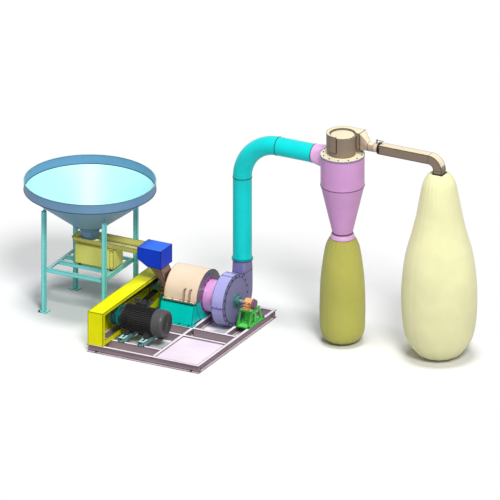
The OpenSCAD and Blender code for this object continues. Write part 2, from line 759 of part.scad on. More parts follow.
module lid_bolts() color([0.25, 0.22, 0.20]) translate([cyclone_x, cyclone_y, drum_z])
    for (i = [0 : 11]) rotate([0, 0, 15 + i * 30]) translate([cyclone_r - 30, 0, 0])
        cylinder(h = 9, r = 9, $fn = 6);

// The drum that gathers the clean air, with its square outlet towards the exhaust duct
module exhaust_drum() color([0.62, 0.54, 0.46]) translate([cyclone_x, cyclone_y, 0]) difference() {
    h = 175;
    y_mid = duct_y - cyclone_y;
    union() {
        translate([0, 0, drum_z]) cylinder(h = drum_h, r = drum_r);
        translate([0, 0, drum_z + drum_h]) cylinder(h = 8, r = drum_r - 12);
        box(0, throat_x0 - cyclone_x, y_mid - 50, y_mid + 50, duct_z - h / 2, duct_z + h / 2);
    }
    translate([0, 0, drum_z - 1]) cylinder(h = drum_h - 3, r = drum_r - 4);
    box(0, throat_x0 - cyclone_x + 1, y_mid - 46, y_mid + 46, duct_z - h / 2 + 4, duct_z + h / 2 - 4);
}

module exhaust_transition() color([0.90, 0.80, 0.64]) difference() {
    hull() {
        box(throat_x0, throat_x0 + 4, duct_y - 50, duct_y + 50, duct_z - 87.5, duct_z + 87.5);
        rod_x(throat_x1 - 4, throat_x1, 62, duct_y, duct_z, $fn = 32);
    }
    hull() {
        box(throat_x0 - 1, throat_x0 + 4, duct_y - 46, duct_y + 46, duct_z - 83.5, duct_z + 83.5);
        rod_x(throat_x1 - 4, throat_x1 + 1, 58, duct_y, duct_z, $fn = 32);
    }
}

module damper_ring() color([0.85, 0.72, 0.62]) difference() {
    union() {
        rod_x(throat_x1, ring_x0, 62, duct_y, duct_z);
        rod_x(ring_x0, duct_x0, 78, duct_y, duct_z);
        translate([ring_x0 - 30, duct_y, duct_z + 60]) cylinder(h = 20, r = 12);
    }
    rod_x(throat_x1 - 1, duct_x0 + 1, 58, duct_y, duct_z);
    translate([ring_x0 - 30, duct_y, duct_z]) cylinder(h = 90, r = 6.05);
}

module damper_blade() color([0.15, 0.15, 0.15]) translate([ring_x0 - 30, duct_y, 0]) {
    translate([0, 0, duct_z]) cylinder(h = 112, r = 6);
    blade_disc();
    translate([0, 0, duct_z + 98]) linear_extrude(6) union() {
        circle(r = 14);
        translate([0, -7]) square([86, 14]);
        translate([86, 0]) circle(r = 9);
    }
}

module blade_disc() translate([0, 1.5, duct_z]) rotate([90, 0, 0]) cylinder(h = 3, r = 54);

// Square duct that runs to the bag and bends down into it
module exhaust_duct() color([0.70, 0.60, 0.52]) {
    x1 = bag_x - duct_bend;
    difference() {
        box(duct_x0, x1, duct_y - duct_w / 2, duct_y + duct_w / 2, duct_z - duct_w / 2,
            duct_z + duct_w / 2);
        box(duct_x0 - 1, x1 + 1, duct_y - duct_w / 2 + 3, duct_y + duct_w / 2 - 3,
            duct_z - duct_w / 2 + 3, duct_z + duct_w / 2 - 3);
    }
    translate([x1, duct_y, duct_z - duct_bend]) rotate([90, 0, 0])
        rotate_extrude(angle = 90) translate([duct_bend, 0]) difference() {
            square(duct_w, center = true);
            square(duct_w - 6, center = true);
        }
    difference() {
        box(bag_x - duct_w / 2, bag_x + duct_w / 2, duct_y - duct_w / 2, duct_y + duct_w / 2,
            bag_top, duct_z - duct_bend);
        box(bag_x - duct_w / 2 + 3, bag_x + duct_w / 2 - 3, duct_y - duct_w / 2 + 3,
            duct_y + duct_w / 2 - 3, bag_top - 1, duct_z - duct_bend + 1);
    }
}

// A filled cloth bag turned from its profile, flat where it stands
module product_bag() color([0.72, 0.72, 0.34]) translate([cyclone_x, cyclone_y, 0]) {
    r = product_r;
    h = cyclone_foot;
    rotate_extrude() polygon([[0, 0], [r * 0.52, 0], [r * 0.78, h * 0.025], [r * 0.93, h * 0.075],
        [r, h * 0.16], [r, h * 0.36], [r * 0.985, h * 0.5], [r * 0.93, h * 0.64],
        [r * 0.84, h * 0.77], [r * 0.72, h * 0.89], [cyclone_neck + 8, h * 0.97],
        [cyclone_neck + 4, h], [0, h]]);
}

module exhaust_bag() color([0.95, 0.94, 0.74]) translate([bag_x, duct_y, 0]) {
    r = exhaust_r;
    h = bag_top;
    rotate_extrude() polygon([[0, 0], [r * 0.36, 0], [r * 0.56, h * 0.02], [r * 0.75, h * 0.06],
        [r * 0.9, h * 0.125], [r * 0.97, h * 0.18], [r, h * 0.26], [r, h * 0.37],
        [r * 0.95, h * 0.47], [r * 0.85, h * 0.58], [r * 0.68, h * 0.70], [r * 0.57, h * 0.80],
        [r * 0.49, h * 0.895], [r * 0.4, h * 0.955], [125, h], [0, h]]);
}

module bag_clamps() color([0.30, 0.30, 0.30]) {
    translate([cyclone_x, cyclone_y, cyclone_foot]) difference() {
        cylinder(h = 16, r = cyclone_neck + 5);
        translate([0, 0, -1]) cylinder(h = 18, r = cyclone_neck);
    }
    translate([bag_x, duct_y, bag_top]) difference() {
        box(-duct_w / 2 - 14, duct_w / 2 + 14, -duct_w / 2 - 14, duct_w / 2 + 14, 0, 12);
        box(-duct_w / 2, duct_w / 2, -duct_w / 2, duct_w / 2, -1, 13);
    }
}

module feed_hopper() color([0.42, 0.60, 0.74]) translate([stand_x, stand_y, 0]) {
    band_z = rim_z - rim_h;
    t = hopper_t;
    rotate_extrude($fn = 96) polygon([[spout_r - t, spout_z], [spout_r, spout_z],
        [spout_r, neck_z], [cone_r, cone_z], [rim_r, band_z], [rim_r, rim_z], [rim_r - t, rim_z],
        [rim_r - t, band_z + 2], [cone_r - t, cone_z + 4], [spout_r - t, neck_z + 3]]);
}

// Height of the underside of the hopper's cone at a distance from its axis
leg_r = leg_pitch / 2 * sqrt(2);
function cone_under(r) = cone_z + (rim_z - rim_h - cone_z) * (r - cone_r) / (rim_r - cone_r);

module stand_legs() color([0.38, 0.86, 0.84])
    for (sx = [-1, 1]) for (sy = [-1, 1]) {
        translate([stand_x + sx * leg_pitch / 2, stand_y + sy * leg_pitch / 2, 0]) {
            difference() {
                box(-leg_w / 2, leg_w / 2, -leg_w / 2, leg_w / 2, 10, leg_h);
                box(-leg_w / 2 + 3, leg_w / 2 - 3, -leg_w / 2 + 3, leg_w / 2 - 3, 9, leg_h - 5);
            }
            difference() {
                box(-60, 60, -60, 60, 0, 10);
                box(-leg_w / 2 + 3, leg_w / 2 - 3, -leg_w / 2 + 3, leg_w / 2 - 3, -1, 11);
                translate([sx * 43, sy * 43, -1]) cylinder(h = 12, r = anchor_r);
            }
            rotate([0, 0, sy > 0 ? (sx > 0 ? 225 : 315) : (sx > 0 ? 135 : 45)])
                along_y(-4, 4)
                    polygon([[-6, leg_h - 2], [26, leg_h - 2], [26, cone_under(leg_r - 26) - 0.3],
                        [-6, cone_under(leg_r + 6) - 0.3]]);
        }
    }

// Angle rails between the legs, and two channels that carry the feeder
module stand_rails() color([0.45, 0.88, 0.86]) translate([stand_x, stand_y, 0]) {
    inner = (leg_pitch - leg_w) / 2;
    for (s = [-1, 1]) {
        mirror([0, s < 0 ? 1 : 0, 0]) {
            box(-inner, inner, inner - 1, inner + 4, rail_z - 50, rail_z);
            box(-inner, inner, inner - 40, inner, rail_z - 5, rail_z);
        }
        mirror([s < 0 ? 1 : 0, 0, 0]) {
            box(inner - 1, inner + 4, -inner, inner, rail_z - 50, rail_z);
            box(inner - 40, inner, -inner, inner, rail_z - 5, rail_z);
        }
        box(-inner, inner, s * 90 - 26, s * 90 + 26, rail_z - 45, rail_z);
    }
}

module feeder_trough() color([0.90, 0.87, 0.45]) difference() {
    w = trough_half;
    lip = w + 38;
    z = trough_z;
    translate([0, stand_y, 0]) union() {
        along_x(trough_x0, trough_x1)
            polygon([[-w, z], [w, z], [w, z + 20], [lip, z + trough_wall + 20],
                [lip - 4, z + trough_wall + 20], [w - trough_t, z + 22],
                [w - trough_t, z + trough_t], [trough_t - w, z + trough_t],
                [trough_t - w, z + 22], [4 - lip, z + trough_wall + 20], [-lip, z + trough_wall + 20],
                [-w, z + 20]]);
        along_x(trough_x0, trough_x0 + 4)
            polygon([[-w, z], [w, z], [w, z + 20], [lip, z + trough_wall + 20], [-lip, z + trough_wall + 20],
                [-w, z + 20]]);
    }
}

module feeder_drive_box() color([0.78, 0.76, 0.36]) {
    z0 = rail_z + mount_h;
    box(drive_x0, drive_x1, stand_y - 125, stand_y + 125, z0, trough_z - 12);
    box(drive_x0 + 40, drive_x1 - 40, stand_y - 60, stand_y + 60, trough_z - 12, trough_z - 0.3);
}

module rubber_mounts() color([0.55, 0.12, 0.10])
    for (x = [drive_x0 + 50, drive_x1 - 50]) for (s = [-1, 1])
        translate([x, stand_y + s * 90, rail_z]) {
            cylinder(h = 6, r = 20);
            translate([0, 0, 6]) cylinder(h = mount_h - 12, r = 15);
            translate([0, 0, mount_h - 6]) cylinder(h = 6, r = 20);
        }

// A chute box with a sloping floor, open to the trough and over the mill's inlet
module chute_box() color([0.12, 0.28, 0.86]) difference() {
    y0 = stand_y - box_half - 4;
    y1 = stand_y + box_half + 4;
    along_y(y0, y1) polygon([[box_x0, box_side], [box_x1 - 190, box_low], [box_x1, box_low],
        [box_x1, box_z], [box_x0, box_z]]);
    along_y(y0 + box_t, y1 - box_t) polygon([[box_x0 + box_t, box_side + box_t],
        [box_x1 - 186, box_low + box_t], [box_x1 - box_t, box_low + box_t],
        [box_x1 - box_t, box_z - box_t], [box_x0 + box_t, box_z - box_t]]);
    box(box_x0 - 1, box_x0 + box_t + 1, y0 + 2.5, y1 - 2.5, trough_z - 12, trough_z + trough_wall + 36);
    box(box_x1 - 176, box_x1 - 36, stand_y - 110, stand_y + 110, box_low - 1, box_low + box_t + 1);
}

module inlet_chute() color([0.66, 0.52, 0.48]) difference() {
    union() {
        chute_form(0);
        box(box_x1 - 200, box_x1 - 20, stand_y - 134, stand_y + 134, box_low - 8, box_low);
    }
    chute_form(5);
    box(box_x1 - 175, box_x1 - 37, stand_y - 108, stand_y + 108, box_low - 12, box_low + 1);
}

module chute_form(d) {
    x1 = chamber_x0 - gap;
    hull() {
        box(box_x1 - 180 + d, box_x1 - 32 - d, stand_y - 113 + d, stand_y + 113 - d, box_low - 12,
            box_low - 8 + (d > 0 ? 1 : 0));
        box(x1 - 6, x1 + (d > 0 ? 2 : 0), inlet_y0 + d, inlet_y1 - d, shaft_z + inlet_z0 + d,
            shaft_z + inlet_z1 - d);
    }
}

skid_rails();
skid_beams();
deck_plate();
motor_rails();
motor_frame();
motor_end_bell();
motor_cowl();
terminal_box();
motor_shaft();
motor_pulley();
v_belts();
belt_guard();
guard_brackets();
mill_base();
lower_chamber();
chamber_cover();
cover_handles();
cover_screws();
hinge_lugs();
hinge_pin();
lower_liner();
upper_liner();
main_shaft();
rotor();
mill_pulley();
fan_impeller();
inner_bearing();
inner_pedestal();
outer_bearing();
outer_pedestal();
bearing_end_cap();
inlet_neck();
fan_housing();
fan_front_plate();
fan_plate_bolts();
shaft_seal();
outlet_transition();
riser_pipe();
pipe_elbow();
cross_pipe();
cyclone_inlet();
cyclone_body();
cyclone_lid();
lid_bolts();
exhaust_drum();
exhaust_transition();
damper_ring();
damper_blade();
exhaust_duct();
product_bag();
exhaust_bag();
bag_clamps();
feed_hopper();
stand_legs();
stand_rails();
feeder_trough();
feeder_drive_box();
rubber_mounts();
chute_box();
inlet_chute();
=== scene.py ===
import math

import bmesh
import bpy
from mathutils import Matrix, Vector, noise


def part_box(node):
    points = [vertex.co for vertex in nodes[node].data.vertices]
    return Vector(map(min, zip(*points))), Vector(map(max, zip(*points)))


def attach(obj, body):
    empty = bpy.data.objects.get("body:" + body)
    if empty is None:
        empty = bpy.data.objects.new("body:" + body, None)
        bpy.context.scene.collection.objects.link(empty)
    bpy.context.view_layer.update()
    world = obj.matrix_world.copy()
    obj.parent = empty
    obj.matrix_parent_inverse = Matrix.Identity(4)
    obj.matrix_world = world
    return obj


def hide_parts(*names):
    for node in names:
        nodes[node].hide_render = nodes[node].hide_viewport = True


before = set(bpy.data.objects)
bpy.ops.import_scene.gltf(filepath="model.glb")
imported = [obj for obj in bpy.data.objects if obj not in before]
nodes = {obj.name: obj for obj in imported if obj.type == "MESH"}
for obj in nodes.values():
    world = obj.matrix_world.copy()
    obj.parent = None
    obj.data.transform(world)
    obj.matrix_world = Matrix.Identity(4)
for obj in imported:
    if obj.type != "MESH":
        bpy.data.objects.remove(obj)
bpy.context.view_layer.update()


# View
# The plant is seen in parallel, as a draughtsman shows it: two angles and a scale, and no camera distance.
# The picture is 500 pixels wide, and each pixel is 12.5 mm of the plant.
VIEW_TURN = math.radians(27.7)
VIEW_RISE = math.radians(22.5)
VIEW_WIDTH = 6.25
VIEW_RIGHT_OF_ORIGIN = 0.50
VIEW_OVER_ORIGIN = 0.896
VIEW_BACK_OFF = 14.0
VIEW_DEPTH = 60

right = Vector((math.cos(VIEW_TURN), math.sin(VIEW_TURN), 0))
ahead = Vector((-math.sin(VIEW_TURN) * math.cos(VIEW_RISE),
                math.cos(VIEW_TURN) * math.cos(VIEW_RISE), -math.sin(VIEW_RISE)))
up = right.cross(ahead)
camera_data = bpy.data.cameras.new("view")
camera_data.type = "ORTHO"
camera_data.ortho_scale = VIEW_WIDTH
camera_data.clip_end = VIEW_DEPTH
camera = bpy.data.objects.new("view", camera_data)
bpy.context.scene.collection.objects.link(camera)
camera.matrix_world = Matrix((right, up, -ahead)).transposed().to_4x4()
camera.location = right * VIEW_RIGHT_OF_ORIGIN + up * VIEW_OVER_ORIGIN - ahead * VIEW_BACK_OFF
bpy.context.scene.camera = camera


# Floor and backdrop
# One pale matt sheet, white to the eye, which takes the plant's soft shadow.
# It is no part of the plant, and lies level under the skid, the stand's feet and the bags.
FLOOR_HALF = 30.0
FLOOR_SEEN = (0.92, 0.92, 0.92, 1)
FLOOR_BOUNCE = (0.60, 0.60, 0.60, 1)


# A shader socket that sums can be written with: each sign on it adds a Math node
class Value:
    def __init__(self, shade, socket):
        self.shade = shade
        self.socket = socket

    def maths(self, operation, first, second):
        return self.shade.node("ShaderNodeMath", {"operation": operation}, {0: first, 1: second})

    def __add__(self, other):
        return self.maths("ADD", self, other)

    def __rsub__(self, other):
        return self.maths("SUBTRACT", other, self)

    def __mul__(self, other):
        return self.maths("MULTIPLY", self, other)

    def __gt__(self, other):
        return self.maths("GREATER_THAN", self, other)


# One finish under way: its tree, its main shader, and one method for every other node.
# A Mix node for colours takes them at its sockets 6 and 7, and gives its result at 2.
class Shade:
    def __init__(self, owner, main="Principled BSDF", **sockets):
        owner.use_nodes = True
        self.owner = owner
        self.tree = owner.node_tree
        self.main = self.tree.nodes[main]
        for socket, number in sockets.items():
            self.main.inputs[socket.replace("_", " ")].default_value = number

    def node(self, kind, settings=None, inputs=None, output=0):
        made = self.tree.nodes.new(kind)
        for key, setting in (settings or {}).items():
            setattr(made, key, setting)
        for key, given in (inputs or {}).items():
            if isinstance(given, Value):
                self.tree.links.new(given.socket, made.inputs[key])
            else:
                made.inputs[key].default_value = given
        return Value(self, made.outputs[output])

    def feed(self, socket, given):
        self.tree.links.new(given.socket, self.main.inputs[socket])

    def mix(self, share, first, second):
        return self.node("ShaderNodeMix", {"data_type": "RGBA"}, {0: share, 6: first, 7: second}, 2)

    def place(self):
        return self.node("ShaderNodeTexCoord", output="Object")

    def along(self, vector, axis):
        return self.node("ShaderNodeSeparateXYZ", None, {0: vector}, axis)

    def facing(self, axis):
        return self.along(self.node("ShaderNodeTexCoord", output="Normal"), axis)

    def clouds(self, scale, detail=4.0, rough=0.55):
        return self.node("ShaderNodeTexNoise", None,
                         {"Vector": self.place(), "Scale": scale, "Detail": detail, "Roughness": rough})

    def step(self, given, low, high):
        return self.node("ShaderNodeMapRange", {"interpolation_type": "SMOOTHSTEP"},
                         {"Value": given, "From Min": low, "From Max": high})

    def bump(self, height, strength, distance):
        self.feed("Normal", self.node(
            "ShaderNodeBump", None, {"Height": height, "Strength": strength, "Distance": distance}))


floor_shade = Shade(bpy.data.materials.new("floor_white"), Roughness=0.9, Specular_IOR_Level=0.1)
to_camera = floor_shade.node("ShaderNodeLightPath", output="Is Camera Ray")
floor_shade.feed("Base Color", floor_shade.mix(to_camera, FLOOR_BOUNCE, FLOOR_SEEN))
floor_mesh = bpy.data.meshes.new("floor")
floor_mesh.from_pydata([(-FLOOR_HALF, -FLOOR_HALF, 0), (FLOOR_HALF, -FLOOR_HALF, 0),
                        (FLOOR_HALF, FLOOR_HALF, 0), (-FLOOR_HALF, FLOOR_HALF, 0)], [], [(0, 1, 2, 3)])
floor_mesh.materials.append(floor_shade.owner)
floor = bpy.data.objects.new("floor", floor_mesh)
bpy.context.scene.collection.objects.link(floor)


# Skid
# Hot-rolled channels, butt welded into a ladder frame and sprayed pale pink.
# A flat deck plate is let in over one bay, in front of the fan.
EDGE_REACH = 0.016
EDGE_TONE = 0.03
PAINT_CLOUDS = 2.2
PAINT_SPECKS = 38.0
ORANGE_PEEL = 420.0
PEEL_DEPTH = 0.0006


# Colours are written as a screen shows them, and rgba gives the light they stand for
def rgba(colour, share=1.0):
    light = [((c + 0.055) / 1.055) ** 2.4 if c > 0.04 else c / 12.92 for c in colour]
    return (*[level * share for level in light], 1.0)


# A thin band along sharp edges, which paint() darkens into a near-black painted outline
def edge_line(shade, reach):
    rounded = shade.node("ShaderNodeBevel", {"samples": 6}, {"Radius": reach})
    plain = shade.node("ShaderNodeNewGeometry", output="Normal")
    facing = shade.node("ShaderNodeVectorMath", {"operation": "DOT_PRODUCT"}, {0: rounded, 1: plain}, 1)
    return shade.step(1 - facing, 0.015, 0.07)


# Where a second colour goes: on the faces that look along an axis
def looking(axis, over=0.6):
    return lambda shade: shade.step(shade.facing(axis), over, over + 0.1)


# Sprayed paint on steel sheet: a slight orange peel, clouded gloss and a little settled dust
def paint(name, colour, rough=0.36, coat=0.06, dust=0.12, edge=0.95, line=EDGE_REACH, other=None,
          where=looking(2), gloss=0.22):
    shade = Shade(bpy.data.materials.new(name), Roughness=rough, Coat_Weight=coat, Coat_Roughness=0.22,
                  Specular_IOR_Level=gloss)
    broad = shade.clouds(PAINT_CLOUDS, 5.0)
    fine = shade.clouds(PAINT_SPECKS, 3.0)
    cloud = shade.step(broad, 0.35, 0.68)
    tone = shade.mix(cloud, rgba(colour, 0.92), rgba(colour, 1.02))
    if other:
        second = shade.mix(cloud, rgba(other, 0.92), rgba(other, 1.02))
        tone = shade.mix(where(shade), tone, second)
    specks = shade.step(fine, 0.62, 0.78) * dust
    tone = shade.mix(specks, tone, rgba([0.25 + 0.6 * c for c in colour]))
    # A near-black outline is painted along every sharp edge
    tone = shade.mix(edge_line(shade, line) * edge, tone, rgba(colour, EDGE_TONE))
    shade.feed("Base Color", tone)
    shade.feed("Roughness", shade.step(broad, 0.2, 0.8) * 0.12 + fine * 0.10 + (rough - 0.10))
    shade.bump(shade.clouds(ORANGE_PEEL, 2.0), 0.10, PEEL_DEPTH)
    return shade.owner


def dress(material, *names):
    for name in names:
        mesh = nodes[name].data
        mesh.materials.clear()
        mesh.materials.append(material)


# Its upward faces are painted pale pink and its sides darker mauve: lit and shaded copies of one paint, as
# painted light from above
skid_paint_lit_top = paint("skid_paint_lit_top", (0.66, 0.58, 0.62), rough=0.45, dust=0.3, other=(0.98, 0.93, 0.96))
dress(skid_paint_lit_top, "skid_rails", "skid_beams")
deck_paint = paint("deck_paint", (0.98, 0.92, 0.98), rough=0.4, dust=0.05)
dress(deck_paint, "deck_plate")


# Skid anchors
# Steel bolts with hexagon heads on washers, one near each corner of the skid.
# They hold the lower flanges of the channels to the floor.
TURNING_MARKS = 160.0
MARK_DEPTH = 0.0004
CORE_R = 0.0005
WASHER_SHARE = 0.66
WASHER_THICK = 0.0022
CHAMFER = 0.0018
CHAMFER_SHARE = 0.86
FLANGE_TOP = 0.006
ANCHOR_FROM_END = 0.12
ANCHOR_FROM_SIDE = 0.021
ANCHOR_BOLT = (0.022, 0.014)


# Machined steel: fine turning marks round the shaft's own axis
def steel(name, colour, rough):
    shade = Shade(bpy.data.materials.new(name), Metallic=1.0, Roughness=rough)
    marks = shade.node("ShaderNodeTexWave", {"bands_direction": "X"},
                       {"Vector": shade.place(), "Scale": TURNING_MARKS, "Distortion": 1.5, "Detail": 2.0})
    broad = shade.clouds(9.0)
    shade.feed("Base Color", shade.mix(broad, rgba(colour, 0.85), rgba(colour, 1.1)))
    shade.feed("Roughness", marks * 0.10 + broad * 0.12 + (rough - 0.10))
    shade.bump(marks, 0.08, MARK_DEPTH)
    return shade.owner


# A frame of axes at a point, whose Z runs along the direction given
def standing(point, direction=(0, 0, 1)):
    turned = Vector(direction).to_track_quat("Z", "Y").to_matrix().to_4x4()
    return Matrix.Translation(Vector(point)) @ turned


def on_circle(radius, angle, height):
    return Vector((radius * math.cos(angle), radius * math.sin(angle), height))


# Turns a closed outline of (radius, height) round an axis
def turn(work, outline, place, steps=48):
    rings = []
    for step in range(steps):
        angle = 2 * math.pi * step / steps
        rings.append([work.verts.new(place @ on_circle(r, angle, z)) for r, z in outline])
    for step in range(steps):
        here, there = rings[step], rings[(step + 1) % steps]
        for i in range(len(outline)):
            j = (i + 1) % len(outline)
            work.faces.new((here[i], there[i], there[j], here[j]))


# Walls between one loop of points and the next, and a cap on the first and the last
def skin(work, loops):
    for lower, upper in zip(loops, loops[1:]):
        for i in range(len(lower)):
            j = (i + 1) % len(lower)
            work.faces.new((lower[i], lower[j], upper[j], upper[i]))
    work.faces.new(list(reversed(loops[0])))
    work.faces.new(loops[-1])


# A hexagon head with its chamfer, on a washer. Its size is its width across flats and its height
def bolt(work, place, size):
    across, height = size
    washer = across * WASHER_SHARE
    turn(work, [(CORE_R, 0), (washer, 0), (washer, WASHER_THICK), (CORE_R, WASHER_THICK)], place, 20)
    half = across / math.sqrt(3)
    levels = [(half, WASHER_THICK), (half, height), (half * CHAMFER_SHARE, height + CHAMFER)]
    skin(work, [[work.verts.new(place @ on_circle(r, k * math.pi / 3, z)) for k in range(6)]
                for r, z in levels])


def add_piece(name, work, material, smooth=True, body="frame"):
    bmesh.ops.recalc_face_normals(work, faces=work.faces)
    mesh = bpy.data.meshes.new(name)
    work.to_mesh(mesh)
    work.free()
    mesh.materials.append(material)
    for face in mesh.polygons:
        face.use_smooth = smooth
    piece = bpy.data.objects.new(name, mesh)
    bpy.context.scene.collection.objects.link(piece)
    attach(piece, body)
    return piece


def bolt_set(name, places, size):
    work = bmesh.new()
    for place in places:
        bolt(work, place, size)
    add_piece(name, work, dark_steel, smooth=False)


dark_steel = steel("dark_steel", (0.26, 0.26, 0.27), 0.42)
skid_low, skid_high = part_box("skid_rails")
skid_anchors = [standing((x, y, FLANGE_TOP))
                for x in (skid_low[0] + ANCHOR_FROM_END, skid_high[0] - ANCHOR_FROM_END)
                for y in (skid_low[1] + ANCHOR_FROM_SIDE, skid_high[1] - ANCHOR_FROM_SIDE)]
bolt_set("skid_anchor_bolts", skid_anchors, ANCHOR_BOLT)


# Motor and its slide rails
# A totally enclosed fan-cooled motor: a finned iron frame, painted black, with a pressed steel fan cowl.
# Its feet are bolted to two slotted rails, on which it is drawn back to set the belts.
IRON_GRAIN = 160.0
GRAIN_DEPTH = 0.0012
IRON_EDGE = 0.004
MOTOR_FOOT_X = (-0.559, -0.280)
MOTOR_FOOT_REACH = 0.140
MOTOR_FOOT_DROP = 0.162
MOTOR_BOLT = (0.026, 0.014)


def iron(name, colour, rough=0.55):
    shade = Shade(bpy.data.materials.new(name), Roughness=rough, Specular_IOR_Level=0.4)
    grain = shade.clouds(IRON_GRAIN, 4.0)
    broad = shade.clouds(6.0)
    tone = shade.mix(shade.step(broad, 0.3, 0.7), rgba(colour, 0.85), rgba(colour, 1.15))
    lit = edge_line(shade, IRON_EDGE) * 0.5
    shade.feed("Base Color", shade.mix(lit, tone, rgba([min(1, 0.25 + c * 1.2) for c in colour])))
    shade.feed("Roughness", grain * 0.25 + (rough - 0.12))
    shade.bump(grain, 0.25, GRAIN_DEPTH)
    return shade.owner


def centre(node):
    low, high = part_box(node)
    return [(a + b) / 2 for a, b in zip(low, high)]


# The rails' upward faces are painted paler than their sides, as painted light from above
rail_paint = paint("rail_paint", (0.50, 0.72, 0.72), other=(0.78, 0.96, 0.95))
dress(rail_paint, "motor_rails")
motor_iron = iron("motor_iron", (0.13, 0.13, 0.13))
dress(motor_iron, "motor_frame", "motor_end_bell", "terminal_box")
cowl_paint = paint("cowl_paint", (0.33, 0.33, 0.34), rough=0.38, dust=0.05, edge=0.7)
dress(cowl_paint, "motor_cowl")
bright_steel = steel("bright_steel", (0.80, 0.81, 0.83), 0.28)
dress(bright_steel, "motor_shaft")
cowl_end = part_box("motor_cowl")[1][0]
motor_y, motor_z = centre("motor_cowl")[1:]

# The cowl's air grille: rings pressed round the fan's opening, at the motor's back
GRILLE_RINGS = 6
GRILLE_INNER_R = 0.030
GRILLE_PITCH = 0.018
GRILLE_WIDE = 0.006
GRILLE_LOW, GRILLE_TOP = 0.0002, 0.003
work = bmesh.new()
for k in range(GRILLE_RINGS):
    inner = GRILLE_INNER_R + k * GRILLE_PITCH
    outer = inner + GRILLE_WIDE
    turn(work, [(inner, GRILLE_LOW), (outer, GRILLE_LOW), (outer, GRILLE_TOP), (inner, GRILLE_TOP)],
         standing((cowl_end, motor_y, motor_z), (1, 0, 0)))
add_piece("cowl_grille", work, dark_steel)

# The bolts that hold the motor's feet to its rails
motor_feet = [standing((x, motor_y + side * MOTOR_FOOT_REACH, motor_z - MOTOR_FOOT_DROP))
              for x in MOTOR_FOOT_X for side in (-1, 1)]
bolt_set("motor_foot_bolts", motor_feet, MOTOR_BOLT)

# The terminal box: a cast box on a short neck, leaning to the far side, with a screwed lid and a gland.
# Each layer has its half length, half width, foot, top and the radius of its edges.
FRAME_SKIN = 0.150
BOX_LEAN = math.radians(-28)
BOX_X = -0.470
BOX_LAYERS = [(0.060, 0.040, FRAME_SKIN - 0.006, 0.180, 0.004),
              (0.079, 0.059, 0.178, 0.2325, 0.006),
              (0.085, 0.065, 0.2325, 0.2415, 0.003)]
LID_SCREW = (0.010, 0.004)
LID_SCREW_X, LID_SCREW_Y, LID_SCREW_Z = 0.075, 0.055, 0.2414
GLAND_PLACE = (BOX_X, -0.058, 0.206)
GLAND = [(0.003, 0), (0.016, 0), (0.016, 0.008), (0.012, 0.009), (0.012, 0.020), (0.009, 0.024),
         (0.003, 0.024)]


# A block with softened edges, between two corners
def block(work, low, high, soft, place=Matrix.Identity(4)):
    made = bmesh.ops.create_cube(work, size=1.0)["verts"]
    for vert in made:
        vert.co = place @ Vector([low[k] + (high[k] - low[k]) * (vert.co[k] + 0.5) for k in range(3)])
    edges = {edge for vert in made for edge in vert.link_edges}
    bmesh.ops.bevel(work, geom=list(edges), offset=soft, segments=2, profile=0.5, affect="EDGES")


work = bmesh.new()
box_place = Matrix.Translation(Vector((0, motor_y, motor_z))) @ Matrix.Rotation(BOX_LEAN, 4, "X")
for half_x, half_y, foot, top, soft in BOX_LAYERS:
    block(work, (BOX_X - half_x, -half_y, foot), (BOX_X + half_x, half_y, top), soft, box_place)
for x in (BOX_X - LID_SCREW_X, BOX_X + LID_SCREW_X):
    for y in (-LID_SCREW_Y, LID_SCREW_Y):
        bolt(work, box_place @ Matrix.Translation(Vector((x, y, LID_SCREW_Z))), LID_SCREW)
gland_place = box_place @ Matrix.Translation(Vector(GLAND_PLACE)) @ Matrix.Rotation(math.pi / 2, 4, "X")
turn(work, GLAND, gland_place, 24)
terminal_box = add_piece("terminal_box_cast", work, motor_iron, smooth=False)
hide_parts("terminal_box")

# The lifting eye: a forged ring on a boss, screwed into the top of the frame
EYE_X = -0.330
EYE_RISE = 0.050
EYE_R = 0.020
EYE_WIRE = 0.0055
EYE_BOSS = [(0.001, 0), (0.016, 0), (0.016, 0.028), (0.010, 0.032), (0.001, 0.032)]


# A round wire bent into a ring
def ring(work, place, radius, wire, steps):
    turn(work, [(radius + wire * math.cos(k * math.pi / 5), wire * math.sin(k * math.pi / 5))
                for k in range(10)], place, steps)


work = bmesh.new()
turn(work, EYE_BOSS, standing((EYE_X, motor_y, motor_z + FRAME_SKIN)), 24)
ring(work, standing((EYE_X, motor_y, motor_z + FRAME_SKIN + EYE_RISE), (1, 0, 0)), EYE_R, EYE_WIRE, 36)
add_piece("motor_eye", work, motor_iron)


# Belt drive
# Two cast grooved pulleys and a set of rubber V-belts, which a folded sheet guard covers.
# The guard is sprayed safety yellow and stands on brackets bolted to the skid.
BELT_RIBS = 60.0
RIB_DEPTH = 0.001


def rubber(name, colour):
    shade = Shade(bpy.data.materials.new(name), Roughness=0.7, Specular_IOR_Level=0.3)
    weave = shade.node("ShaderNodeTexWave", {"bands_direction": "Y"},
                       {"Vector": shade.place(), "Scale": BELT_RIBS, "Distortion": 0.4})
    dust = shade.step(shade.clouds(20.0), 0.5, 0.75)
    shade.feed("Base Color", shade.mix(dust * 0.4, rgba(colour), rgba([0.14 + c for c in colour])))
    shade.bump(weave, 0.3, RIB_DEPTH)
    return shade.owner


pulley_teal = iron("pulley_teal", (0.05, 0.62, 0.64), 0.42)
dress(pulley_teal, "motor_pulley")
pulley_green = iron("pulley_green", (0.55, 0.74, 0.62), 0.42)
dress(pulley_green, "mill_pulley")
belt_rubber = rubber("belt_rubber", (0.10, 0.11, 0.10))
dress(belt_rubber, "v_belts")
# The guard's upward faces are painted a touch brighter yellow than its sides, as painted light from above
guard_paint_lit_top = paint("guard_paint_lit_top", (0.98, 0.97, 0.0), rough=0.38, coat=0.0, dust=0.03, gloss=0.12,
                    other=(1.0, 1.0, 0.0))
dress(guard_paint_lit_top, "belt_guard", "guard_brackets")


